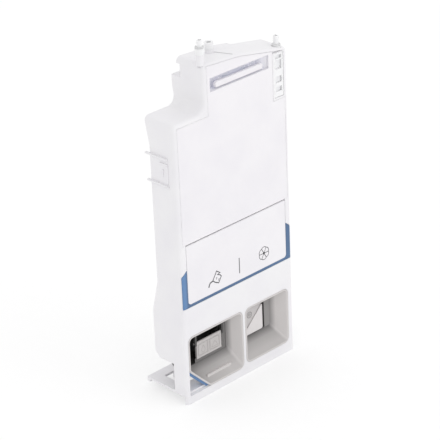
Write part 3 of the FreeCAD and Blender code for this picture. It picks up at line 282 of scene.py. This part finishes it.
def cup_painted_shade(tree, axes):
    """Painted shade in a cup: dark on the floor's left and far end, in the well and on the flap's ears."""
    floor = fade(
        tree, axes,
        ("across", -70.0 * MM, -15.0 * MM, 0.42, 0.75),
        ("behind", FRONT + 3.0 * MM, FRONT + 13.0 * MM, 0.95, 0.55))
    on_floor = fade(tree, axes, ("upward", 0.2, 0.6, 0.0, 1.0))
    on_ears = fade(
        tree, axes,
        ("across", -12.0 * MM, -13.0 * MM, 0.0, 1.0),
        ("height", 54.0 * MM, 55.0 * MM, 0.0, 1.0),
        ("behind", FRONT + 8.0 * MM, FRONT + 8.4 * MM, 0.0, 1.0))
    # Painted shade darkens the well towards its bottom, and a painted highlight brightens the flat top of the
    # floor's rib
    share = fade(
        tree, axes,
        ("behind", FRONT + 8.5 * MM, FRONT + 15.0 * MM, 1.0, 0.2),
        ("upward", 0.97, 0.99, 1.0, 1.9))
    for where, left in ((on_floor, floor), (on_ears, 0.12)):
        painted_dark = add_node(tree, "ShaderNodeMix", {"Factor": where, "A": 1.0, "B": left})
        share = add_node(tree, "ShaderNodeMath", {0: share, 1: painted_dark}, operation="MULTIPLY")
    return share


def slot_painted_glow(tree, axes):
    """Painted light: a faint glow on the slot's walls, stronger deeper into the slot."""
    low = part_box("release_bar")[0].z
    return fade(
        tree, axes,
        ("height", low - 6.0 * MM, low - 5.0 * MM, 0.0, 1.0),
        ("behind", FRONT + 0.5 * MM, FRONT + 6.0 * MM, 0.0, 0.12))


def moulded_plastic(name, base, deep, roughness, grain_mm, grain_height_mm, edge_mm, subsurface=0.0,
                    painted_shading=None, painted_glow=None, painted_glow_colour=None):
    """A moulded plastic or a baked coat: soft mottle, worn bright edges, and fine grain drawn coarser."""
    material, tree, place = new_material(name)
    mottle = add_node(tree, "ShaderNodeTexNoise", {
        "Vector": place, "Scale": 1 / (MOTTLE_MM * MM), "Detail": 3.0})
    grain = add_node(tree, "ShaderNodeTexNoise", {
        "Vector": place, "Scale": 1 / (grain_mm * MM), "Detail": 2.0})
    corner = add_node(tree, "ShaderNodeBevel", {"Radius": edge_mm * MM}, samples=6)
    facing = add_node(tree, "ShaderNodeNewGeometry").outputs["Normal"]
    sharp = add_node(tree, "ShaderNodeVectorMath", {0: corner, 1: facing}, operation="DOT_PRODUCT")
    worn = add_node(tree, "ShaderNodeMapRange", {
        "Value": sharp, "From Min": 0.99, "From Max": 0.82, "To Min": 0.0, "To Max": 0.5})
    clouds = add_node(tree, "ShaderNodeMapRange", {
        "Value": mottle, "From Min": 0.35, "From Max": 0.7, "To Min": 0.0, "To Max": 0.55})
    tint = add_node(tree, "ShaderNodeMix", {
        "Factor": clouds, "A": rgba(base), "B": rgba(deep)}, data_type="RGBA")
    tint = add_node(tree, "ShaderNodeMix", {
        "Factor": worn, "A": tint, "B": rgba(toned(base, 1.06))}, data_type="RGBA")
    here = add_node(tree, "ShaderNodeSeparateXYZ", {"Vector": place}).outputs
    axes = {
        "across": here["X"], "behind": here["Y"], "height": here["Z"],
        "upward": add_node(tree, "ShaderNodeSeparateXYZ", {"Vector": facing}).outputs["Z"]}
    # Painted light and shade, multiplied into the colour
    if painted_shading:
        tint = add_node(tree, "ShaderNodeMix", {
            "Factor": 1.0, "A": tint, "B": painted_shading(tree, axes)}, data_type="RGBA", blend_type="MULTIPLY")
    gloss = add_node(tree, "ShaderNodeMapRange", {
        "Value": mottle, "From Min": 0.3, "From Max": 0.7,
        "To Min": roughness - 0.05, "To Max": roughness + 0.06})
    bump = add_node(tree, "ShaderNodeBump", {
        "Strength": 0.35, "Distance": grain_height_mm * MM, "Height": grain, "Normal": corner})
    finish = {
        "Base Color": tint, "Roughness": gloss, "Normal": bump, "IOR": 1.5, "Subsurface Weight": subsurface,
        "Subsurface Radius": (1.0, 1.0, 1.0), "Subsurface Scale": SPREAD_MM * MM}
    # Painted light: a glow of the given colour, as strong as the mask gives
    if painted_glow:
        finish["Emission Color"] = rgba(painted_glow_colour)
        finish["Emission Strength"] = painted_glow(tree, axes)
    shader = add_node(tree, "ShaderNodeBsdfPrincipled", finish)
    add_node(tree, "ShaderNodeOutputMaterial", {"Surface": shader})
    return material


def ground_rubber(name, base):
    """Moulded rubber: dull, with a dusting of release powder and a ground skin drawn coarser to show."""
    material, tree, place = new_material(name)
    dust = add_node(tree, "ShaderNodeTexNoise", {"Vector": place, "Scale": 1 / (6 * MM), "Detail": 5.0})
    skin = add_node(tree, "ShaderNodeTexNoise", {"Vector": place, "Scale": 1 / (0.5 * MM)})
    tint = add_node(tree, "ShaderNodeMix", {
        "Factor": dust, "A": rgba(base), "B": rgba(toned(base, 1.5))}, data_type="RGBA")
    gloss = add_node(tree, "ShaderNodeMapRange", {"Value": dust, "To Min": 0.55, "To Max": 0.85})
    bump = add_node(tree, "ShaderNodeBump", {"Strength": 0.4, "Distance": 0.05 * MM, "Height": skin})
    shader = add_node(tree, "ShaderNodeBsdfPrincipled", {
        "Base Color": tint, "Roughness": gloss, "Normal": bump, "IOR": 1.52})
    add_node(tree, "ShaderNodeOutputMaterial", {"Surface": shader})
    return material


def rolled_steel(name, bright, dull):
    """Rolled steel: bright, with fine lines along the sheet."""
    material, tree, place = new_material(name)
    scale = tuple(1 / (size * MM) for size in (ROLL_LONG_MM, ROLL_WIDE_MM, ROLL_WIDE_MM))
    stretched = add_node(tree, "ShaderNodeMapping", {"Vector": place, "Scale": scale})
    lines = add_node(tree, "ShaderNodeTexNoise", {"Vector": stretched, "Scale": 1.0, "Detail": 4.0})
    tint = add_node(tree, "ShaderNodeMix", {
        "Factor": lines, "A": rgba(bright), "B": rgba(dull)}, data_type="RGBA")
    gloss = add_node(tree, "ShaderNodeMapRange", {"Value": lines, "To Min": 0.2, "To Max": 0.4})
    bump = add_node(tree, "ShaderNodeBump", {"Strength": 0.2, "Distance": 0.01 * MM, "Height": lines})
    shader = add_node(tree, "ShaderNodeBsdfPrincipled", {
        "Base Color": tint, "Roughness": gloss, "Normal": bump, "Metallic": 1.0})
    add_node(tree, "ShaderNodeOutputMaterial", {"Surface": shader})
    return material


def pad_ink(name, base):
    """A thin print or mark: dull, and slightly paler in patches."""
    material, tree, place = new_material(name)
    thin = add_node(tree, "ShaderNodeTexNoise", {"Vector": place, "Scale": 1 / (1.2 * MM), "Detail": 3.0})
    tint = add_node(tree, "ShaderNodeMix", {
        "Factor": thin, "A": rgba(base), "B": rgba(toned(base, 1.35))}, data_type="RGBA")
    gloss = add_node(tree, "ShaderNodeMapRange", {"Value": thin, "To Min": 0.45, "To Max": 0.65})
    shader = add_node(tree, "ShaderNodeBsdfPrincipled", {"Base Color": tint, "Roughness": gloss, "IOR": 1.5})
    add_node(tree, "ShaderNodeOutputMaterial", {"Surface": shader})
    return material


def woven_screen(name, base):
    """Woven nylon: threads over and under at a pitch of 0.5 mm, drawn at 1 mm to show."""
    material, tree, place = new_material(name)
    across, along = (
        add_node(tree, "ShaderNodeTexWave", {
            "Vector": place, "Scale": WAVE_PERIOD / (PITCH_MM * MM)}, bands_direction=way).outputs["Fac"]
        for way in ("X", "Z"))
    thread = add_node(tree, "ShaderNodeMath", {0: across, 1: along}, operation="MAXIMUM")
    tint = add_node(tree, "ShaderNodeMix", {
        "Factor": thread, "A": rgba(toned(base, 0.8)), "B": rgba(base)}, data_type="RGBA")
    gloss = add_node(tree, "ShaderNodeMapRange", {"Value": thread, "To Min": 0.7, "To Max": 0.4})
    bump = add_node(tree, "ShaderNodeBump", {"Strength": 0.5, "Distance": 0.1 * MM, "Height": thread})
    shader = add_node(tree, "ShaderNodeBsdfPrincipled", {
        "Base Color": tint, "Roughness": gloss, "Normal": bump, "IOR": 1.53})
    add_node(tree, "ShaderNodeOutputMaterial", {"Surface": shader})
    return material


def white_paper(name):
    """Matt white paper that takes the drawer's shadow. The camera sees it half mixed with plain white."""
    material, tree, place = new_material(name)
    fibre = add_node(tree, "ShaderNodeTexNoise", {"Vector": place, "Scale": 1 / (PAPER_MM * MM)})
    tint = add_node(tree, "ShaderNodeMapRange", {"Value": fibre, "To Min": 0.985, "To Max": 1.0})
    paper = add_node(tree, "ShaderNodeBsdfDiffuse", {"Color": tint})
    white = add_node(tree, "ShaderNodeEmission", {"Color": (1.0, 1.0, 1.0, 1.0), "Strength": 1.0})
    seen = add_node(tree, "ShaderNodeLightPath").outputs["Is Camera Ray"]
    share = add_node(tree, "ShaderNodeMath", {0: seen, 1: 0.5}, operation="MULTIPLY")
    surface = add_node(tree, "ShaderNodeMixShader", {0: share, 1: paper, 2: white})
    add_node(tree, "ShaderNodeOutputMaterial", {"Surface": surface})
    return material


def paint(material, *names):
    """Give one finish to CAD pieces."""
    for name in names:
        data = NODES[name].data
        data.materials.clear()
        data.materials.append(material)


def on_front(y):
    """Place points across and up on a face of the drawer's top side."""
    return lambda across, up, lift: (across, y - lift, up)


def on_rear(across, back, lift):
    """Place points across and back on the drawer's sloping rear end."""
    found, hit, _normal, _face = NODES["drawer_body"].ray_cast((across, back, OVERHEAD), (0.0, 0.0, -1.0))
    if not found:
        raise RuntimeError("the rear end has no face under a moulded line")
    return across, back, hit.z + lift


def strokes(name, lines, width, thick, place, body, material):
    """Make printed or raised lines that lie on a face.

    Each line is a list of points in the face, with True where it closes.
    """
    mesh = bmesh.new()
    for points, closed in lines:
        count = len(points)
        sides = []
        for number, point in enumerate(points):
            starts, ends = not closed and number == 0, not closed and number == count - 1
            here = Vector(point)
            before = here if starts else Vector(points[number - 1])
            after = here if ends else Vector(points[(number + 1) % count])
            arrive, leave = (here - before).normalized(), (after - here).normalized()
            along = (arrive + leave).normalized()
            mitre = max(SHARPEST, along.dot(arrive if ends else leave))
            out = Vector((-along.y, along.x)) * width / 2 / mitre
            sides.append((here + out, here - out))
        rows = [
            [mesh.verts.new(place(side.x, side.y, lift)) for side in pair for lift in (thick, 0.0)]
            for pair in sides]
        for number in range(count if closed else count - 1):
            a, b = rows[number], rows[(number + 1) % count]
            for first, second in ((0, 2), (2, 3), (3, 1), (1, 0)):
                mesh.faces.new((a[first], b[first], b[second], a[second]))
        if not closed:
            for row in (rows[0], rows[-1]):
                mesh.faces.new((row[0], row[2], row[3], row[1]))
    bmesh.ops.recalc_face_normals(mesh, faces=mesh.faces)
    data = bpy.data.meshes.new(name)
    mesh.to_mesh(data)
    mesh.free()
    data.materials.append(material)
    piece = bpy.data.objects.new(name, data)
    bpy.context.scene.collection.objects.link(piece)
    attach(piece, body)


def around(x, z, reach, turn):
    """A point at a reach and a turn from a middle."""
    return x + reach * math.cos(turn), z + reach * math.sin(turn)


def ring(x, z, radius):
    """Points round a circle."""
    return [around(x, z, radius, math.tau * number / RING_POINTS) for number in range(RING_POINTS)]


def moved(shape, x, z):
    """Move points given in millimetres to their place."""
    return [(x + across * MM, z + up * MM) for across, up in shape]


class DRAWER_OT_tub(bpy.types.Operator):
    """Finish the tub, its top cover, the release bar and the side runners in white."""

    bl_idname = "drawer.tub"
    bl_label = "Tub and cover"

    def execute(self, context):
        tones = context.scene.drawer_colours
        # Injection-moulded polypropylene: a soft white sheen over fine eroded grain, drawn coarser to show
        body = moulded_plastic(
            "moulded_white_polypropylene", tones.body, tones.shade,
            roughness=0.42, grain_mm=1.4, grain_height_mm=0.03, edge_mm=0.5)
        # ABS from a finer tool: smoother than the tub, with a little light in its thin walls, and a painted
        # glow in the slot
        cover = moulded_plastic(
            "moulded_white_abs", tones.cover, tones.shade,
            roughness=0.36, grain_mm=1.2, grain_height_mm=0.02, edge_mm=0.4, subsurface=0.2,
            painted_glow=slot_painted_glow, painted_glow_colour=tones.slot_painted_glow_colour)
        # Polished acetal: a clear narrow highlight along the bar's round
        bar = moulded_plastic(
            "polished_white_acetal", tones.cover, tones.shade,
            roughness=0.32, grain_mm=1.2, grain_height_mm=0.02, edge_mm=0.4, subsurface=0.2)
        # Acetal as it leaves the tool: dull, with crisp edges
        runner = moulded_plastic(
            "moulded_white_acetal", tones.body, tones.shade,
            roughness=0.5, grain_mm=1.6, grain_height_mm=0.03, edge_mm=0.3)
        paint(body, "drawer_body")
        paint(cover, "top_cover")
        paint(bar, "release_bar")
        paint(runner, "guide_shoe_left", "guide_shoe_right")
        return {"FINISHED"}


class DRAWER_OT_lid(bpy.types.Operator):
    """Finish the filling lid, its blue carrier and seals, and the cup's blue grip."""

    bl_idname = "drawer.lid"
    bl_label = "Lid"

    def execute(self, context):
        tones = context.scene.drawer_colours
        deep = toned(tones.blue, 0.86)
        # ABS from a polished tool: the smoothest of the large whites
        lid = moulded_plastic(
            "polished_white_abs", tones.cover, tones.shade,
            roughness=0.32, grain_mm=1.2, grain_height_mm=0.015, edge_mm=0.4)
        # Blue ABS from a polished tool: even colour, glossier than the whites, with painted shade from the
        # gap round the lid
        blue = moulded_plastic(
            "moulded_blue_abs", tones.blue, deep,
            roughness=0.3, grain_mm=1.2, grain_height_mm=0.015, edge_mm=0.4, painted_shading=carrier_gap_shade)
        # The same blue on the grip, a little duller from handling
        grip = moulded_plastic(
            "moulded_blue_grip_plastic", tones.blue, deep,
            roughness=0.34, grain_mm=1.2, grain_height_mm=0.015, edge_mm=0.4)
        # Moulded EPDM rubber: dull dark grey, powdery in patches
        rubber = ground_rubber("grey_epdm_rubber", tones.rubber)
        paint(lid, "lid_cover")
        paint(blue, "lid_frame")
        paint(grip, "cup_grip")
        paint(rubber, "detergent_seal", "softener_seal")
        return {"FINISHED"}


class DRAWER_OT_signs(bpy.types.Operator):
    """Print the pouring bottle, the flower and the line between them on the lid."""

    bl_idname = "drawer.signs"
    bl_label = "Lid signs"

    def execute(self, context):
        sizes = context.scene.drawer_signs
        # Pad-printed ink: dull dark grey, slightly thin where the pad lifted
        ink = pad_ink("pad_printed_grey_ink", context.scene.drawer_colours.ink)
        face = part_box("lid_cover")[0].y
        bottle = sizes.bottle_x, sizes.bottle_z
        flower = sizes.flower_x, sizes.flower_z
        radius = sizes.flower_radius

        divider = [(sizes.divider_x, sizes.divider_low), (sizes.divider_x, sizes.divider_high)]
        bold = [(moved(BOTTLE, *bottle), True), (divider, False)]
        strokes("lid_signs", bold, sizes.line, PRINT, on_front(face), "lid", ink)

        outline = []
        for number in range(PETALS * PETAL_POINTS):
            turn = math.tau * number / (PETALS * PETAL_POINTS)
            reach = radius * (1.0 - NOTCH * (1.0 - abs(math.sin(turn * PETALS / 2))))
            outline.append(around(*flower, reach, turn))
        thin = [(outline, True)]
        for number in range(PETALS):
            turn = math.tau * number / PETALS
            thin.append(([around(*flower, reach, turn) for reach in (0.0, radius * SPOKE)], False))
        thin.append((ring(*flower, radius * HEART), True))
        thin.extend((moved(line, *bottle), False) for line in LABEL)
        strokes("flower_sign", thin, sizes.thin_line, PRINT, on_front(face), "lid", ink)

        stream = [(moved(STREAM, *bottle), False)]
        strokes("stream_sign", stream, sizes.stream_line, PRINT, on_front(face), "lid", ink)
        return {"FINISHED"}


class DRAWER_OT_cups(bpy.types.Operator):
    """Finish the two cups, the flap and the siphon cap."""

    bl_idname = "drawer.cups"
    bl_label = "Cups"

    def execute(self, context):
        tones = context.scene.drawer_colours
        # Mass-coloured polypropylene from a matt tool: warm grey, broad soft highlights, with painted shade
        # on the floors, in the well and on the ears
        cup = moulded_plastic(
            "matt_grey_polypropylene", tones.cup, toned(tones.cup, 0.93),
            roughness=0.48, grain_mm=1.5, grain_height_mm=0.03, edge_mm=0.5, painted_shading=cup_painted_shade)
        # The same matt tool for the flap: a deeper grey with crisper edges
        flap = moulded_plastic(
            "matt_grey_flap_plastic", tones.flap, toned(tones.flap, 0.9),
            roughness=0.45, grain_mm=1.2, grain_height_mm=0.03, edge_mm=0.3)
        # ABS from a finer tool: paler and smoother than the cups, with painted shade in its folds
        cap = moulded_plastic(
            "pale_grey_abs", tones.cap, toned(tones.cap, 0.94),
            roughness=0.38, grain_mm=1.2, grain_height_mm=0.02, edge_mm=0.4, painted_shading=cap_fold_shade)
        paint(cup, "powder_cup", "softener_cup")
        paint(flap, "liquid_flap")
        paint(cap, "siphon_cap")
        return {"FINISHED"}


class DRAWER_OT_cup_shade_strip(bpy.types.Operator):
    """Lay a dark strip of painted shade, the sill, under the flap and up the well's right edge."""

    bl_idname = "drawer.cup_sill"
    bl_label = "Cup sill"

    def execute(self, context):
        tones = context.scene.drawer_colours
        sizes = context.scene.drawer_trim
        # Painted shade: the cup's matt polypropylene as it looks in the shade of the flap, a dark grey
        # without highlights
        shaded = moulded_plastic(
            "shaded_grey_polypropylene", toned(tones.cup, 0.28), toned(tones.cup, 0.25),
            roughness=0.5, grain_mm=1.5, grain_height_mm=0.03, edge_mm=0.3)
        sill = [
            (sizes.shade_strip_left, sizes.shade_strip_low), (sizes.shade_strip_right, sizes.shade_strip_low),
            (sizes.shade_strip_right, sizes.shade_strip_high)]
        strokes("cup_sill", [(sill, False)], sizes.shade_strip_width, sizes.shade_strip_thick,
                on_front(FRONT + sizes.shade_strip_depth), "drawer", shaded)
        return {"FINISHED"}


class DRAWER_OT_cup_marks(bpy.types.Operator):
    """Mark the flap with a drop and a heap, and the siphon cap with two rings."""

    bl_idname = "drawer.cup_marks"
    bl_label = "Cup marks"

    def execute(self, context):
        tones = context.scene.drawer_colours
        sizes = context.scene.drawer_trim
        width = context.scene.drawer_signs.thin_line
        # Laser-marked plastic: the mark is a little darker and duller than the moulding round it
        mark = pad_ink("laser_marked_plastic", tones.mark)
        low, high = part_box("liquid_flap")
        middle = (low.x + high.x) / 2
        marks = [(moved(shape, middle + side, sizes.flap_mark_z), True)
                 for side, shape in ((-sizes.flap_mark_apart, DROP), (sizes.flap_mark_apart, HEAP))]
        strokes("flap_signs", marks, width, PRINT, on_front(FRONT + sizes.flap_depth),
                "flap", mark)
        # A slower pass of the laser: a mark half as bright
        deeper = pad_ink("deep_laser_mark", toned(tones.mark, 0.5))
        rings = [(ring(sizes.cap_mark_x, sizes.cap_mark_z, radius), True)
                 for radius in (sizes.cap_mark_outer, sizes.cap_mark_inner)]
        strokes("cap_sign", rings, width, PRINT, on_front(FRONT + sizes.cap_depth),
                "drawer", deeper)
        return {"FINISHED"}


class DRAWER_OT_fittings(bpy.types.Operator):
    """Finish the nozzles, their rings, the vent, the grille, and the floats with their magnets."""

    bl_idname = "drawer.fittings"
    bl_label = "Rear fittings and floats"

    def execute(self, context):
        tones = context.scene.drawer_colours
        # Unfilled acetal without pigment: milky, with light inside its thin walls
        natural = moulded_plastic(
            "natural_acetal", tones.natural, toned(tones.natural, 0.93),
            roughness=0.3, grain_mm=1.0, grain_height_mm=0.015, edge_mm=0.3, subsurface=0.3)
        # Moulded silicone rubber without pigment: pale grey and dull
        silicone = ground_rubber("natural_silicone_rubber", toned(tones.natural, 0.66))
        # Rolled steel: a bright metal with fine lines
        steel = rolled_steel("rolled_magnet_steel", tones.steel, tones.steel_line)
        paint(natural, "detergent_nozzle", "softener_nozzle", "vent_spigot", "suction_grille",
              "detergent_float", "softener_float")
        paint(silicone, "detergent_ring", "softener_ring")
        paint(steel, "detergent_magnet", "softener_magnet")
        return {"FINISHED"}


class DRAWER_OT_grille_screen(bpy.types.Operator):
    """Lay the woven screen against the grille's back."""

    bl_idname = "drawer.grille_screen"
    bl_label = "Grille screen"

    def execute(self, context):
        sizes = context.scene.drawer_trim
        edge, thick = sizes.screen_edge, sizes.screen_thick
        # Woven nylon: a pale net whose threads catch the light
        net = woven_screen("woven_nylon_screen", context.scene.drawer_colours.screen)
        low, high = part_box("suction_grille")
        middle = (low.x + high.x) / 2
        strip = [(middle, low.z + edge), (middle, high.z - edge)]
        strokes("grille_screen", [(strip, False)], high.x - low.x - edge * 2, thick,
                on_front(FRONT + sizes.screen_depth + thick), "drawer", net)
        return {"FINISHED"}


class DRAWER_OT_rear_line(bpy.types.Operator):
    """Draw the thin moulded line on the rear end, from the vent towards the slot, darkened with painted
    shade.
    """

    bl_idname = "drawer.rear_line"
    bl_label = "Rear line"

    def execute(self, context):
        white = context.scene.drawer_colours.body
        sizes = context.scene.drawer_trim
        # The tub's polypropylene on a low ridge, darkened to a grey line with painted shade
        ridge_shade = moulded_plastic(
            "shaded_white_polypropylene", toned(white, 0.62), toned(white, 0.55),
            roughness=0.45, grain_mm=1.4, grain_height_mm=0.02, edge_mm=0.2)
        start, end = sizes.rear_line_start, sizes.rear_line_end
        route = [start.lerp(end, share) for share in (0.0, 0.25, 0.5, 0.75, 1.0)]
        strokes("rear_line", [(route, False)], sizes.rear_line_width, sizes.rear_line_rise, on_rear,
                "drawer", ridge_shade)
        return {"FINISHED"}


class DRAWER_OT_leaf(bpy.types.Operator):
    """Put a coated leaf, a copy of the spring with its own mesh, under the release bar in the spring's place.
    """

    bl_idname = "drawer.leaf"
    bl_label = "Spring leaf"

    def execute(self, context):
        tones = context.scene.drawer_colours
        # Spring steel with a baked zinc-flake coat: matt silver grey, with the slot's painted glow
        flake = moulded_plastic(
            "zinc_flake_coated_steel", tones.coat, toned(tones.coat, 0.9),
            roughness=0.55, grain_mm=0.6, grain_height_mm=0.01, edge_mm=0.2,
            painted_glow=slot_painted_glow, painted_glow_colour=tones.slot_painted_glow_colour)
        leaf = bpy.data.objects.new("bent_leaf", NODES["release_spring"].data.copy())
        leaf.data.materials.clear()
        leaf.data.materials.append(flake)
        context.scene.collection.objects.link(leaf)
        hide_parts("release_spring")
        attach(leaf, "drawer")
        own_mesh(leaf)
        return {"FINISHED"}


def lay_floor(scene):
    """Lay a wide sheet of white paper under the drawer."""
    half = FLOOR_HALF
    data = bpy.data.meshes.new("floor")
    corners = [(-half, -half, 0), (half, -half, 0), (half, half, 0), (-half, half, 0)]
    data.from_pydata(corners, [], [(0, 1, 2, 3)])
    data.materials.append(white_paper("white_paper_floor"))
    floor = bpy.data.objects.new("floor", data)
    scene.collection.objects.link(floor)


def light_evenly(scene, stage):
    """Light the drawer from all round. The camera and mirrored or bent rays see plain white."""
    world = bpy.data.worlds.new("even_light")
    scene.world = world
    world.use_nodes = True
    tree = world.node_tree
    tree.nodes.clear()
    path = add_node(tree, "ShaderNodeLightPath").outputs
    seen = path["Is Camera Ray"]
    for ray in ("Is Transmission Ray", "Is Glossy Ray"):
        seen = add_node(tree, "ShaderNodeMath", {0: seen, 1: path[ray]}, operation="MAXIMUM")
    strength = add_node(tree, "ShaderNodeMapRange", {"Value": seen, "To Min": stage.sky, "To Max": 1.0})
    sky = add_node(tree, "ShaderNodeBackground", {"Color": (1.0, 1.0, 1.0, 1.0), "Strength": strength})
    add_node(tree, "ShaderNodeOutputWorld", {"Surface": sky})


def hang_softbox(scene, stage):
    """Hang the large soft light in front of the drawer."""
    light = bpy.data.lights.new("front_softbox", "AREA")
    light.shape = "RECTANGLE"
    light.size = light.size_y = stage.softbox_size
    light.energy = stage.key
    softbox = bpy.data.objects.new("front_softbox", light)
    softbox.location = stage.softbox_place
    aim = stage.softbox_aim - stage.softbox_place
    softbox.rotation_euler = aim.to_track_quat("-Z", "Y").to_euler()
    scene.collection.objects.link(softbox)


def set_camera(scene, stage):
    """Set the camera at its distance from its target, turned, raised and rolled."""
    turn, rise = stage.azimuth, stage.elevation
    back = Vector((math.sin(turn) * math.cos(rise), -math.cos(turn) * math.cos(rise), math.sin(rise)))
    level = Vector((math.cos(turn), math.sin(turn), 0.0))
    upright = level.cross(-back)
    cosine, sine = math.cos(stage.roll), math.sin(stage.roll)
    right, up = level * cosine + upright * sine, upright * cosine - level * sine
    place = stage.target + back * stage.distance
    lens = bpy.data.cameras.new("camera")
    lens.sensor_width = SENSOR_WIDTH
    lens.lens = stage.lens
    lens.clip_end = VIEW_END
    camera = bpy.data.objects.new("camera", lens)
    camera.matrix_world = Matrix((
        (right.x, up.x, back.x, place.x),
        (right.y, up.y, back.y, place.y),
        (right.z, up.z, back.z, place.z),
        (0.0, 0.0, 0.0, 1.0)))
    scene.collection.objects.link(camera)
    scene.camera = camera


class DRAWER_OT_stage(bpy.types.Operator):
    """Set the floor, the even light, the front light and the camera."""

    bl_idname = "drawer.stage"
    bl_label = "Stage"

    def execute(self, context):
        scene = context.scene
        scene.view_settings.view_transform = "Standard"
        lay_floor(scene)
        light_evenly(scene, scene.drawer_stage)
        hang_softbox(scene, scene.drawer_stage)
        set_camera(scene, scene.drawer_stage)
        return {"FINISHED"}


class DRAWER_PT_looks(bpy.types.Panel):
    """List the drawer's steps and settings in the sidebar."""

    bl_idname = "DRAWER_PT_looks"
    bl_label = "Detergent drawer"
    bl_space_type = "VIEW_3D"
    bl_region_type = "UI"
    bl_category = "Drawer"

    def draw(self, context):
        for step in STEPS:
            self.layout.operator(step.bl_idname)
        for group in GROUPS:
            settings = getattr(context.scene, group)
            box = self.layout.box()
            for name in settings.__annotations__:
                box.prop(settings, name)


STEPS = (
    DRAWER_OT_tub, DRAWER_OT_lid, DRAWER_OT_signs, DRAWER_OT_cups, DRAWER_OT_cup_shade_strip, DRAWER_OT_cup_marks,
    DRAWER_OT_fittings, DRAWER_OT_grille_screen, DRAWER_OT_rear_line, DRAWER_OT_leaf, DRAWER_OT_stage)
GROUPS = {
    "drawer_colours": DrawerColours, "drawer_signs": SignSizes, "drawer_trim": TrimSizes,
    "drawer_stage": StageSettings}
CLASSES = (*GROUPS.values(), *STEPS, DRAWER_PT_looks)


def register():
    for item in CLASSES:
        bpy.utils.register_class(item)
    for name, group in GROUPS.items():
        setattr(bpy.types.Scene, name, bpy.props.PointerProperty(type=group))


def unregister():
    for name in GROUPS:
        delattr(bpy.types.Scene, name)
    for item in reversed(CLASSES):
        bpy.utils.unregister_class(item)


def main():
    """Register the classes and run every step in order."""
    register()
    bpy.ops.drawer.tub()
    bpy.ops.drawer.lid()
    bpy.ops.drawer.signs()
    bpy.ops.drawer.cups()
    bpy.ops.drawer.cup_sill()
    bpy.ops.drawer.cup_marks()
    bpy.ops.drawer.fittings()
    bpy.ops.drawer.grille_screen()
    bpy.ops.drawer.rear_line()
    bpy.ops.drawer.leaf()
    bpy.ops.drawer.stage()


if __name__ == "__main__":
    main()
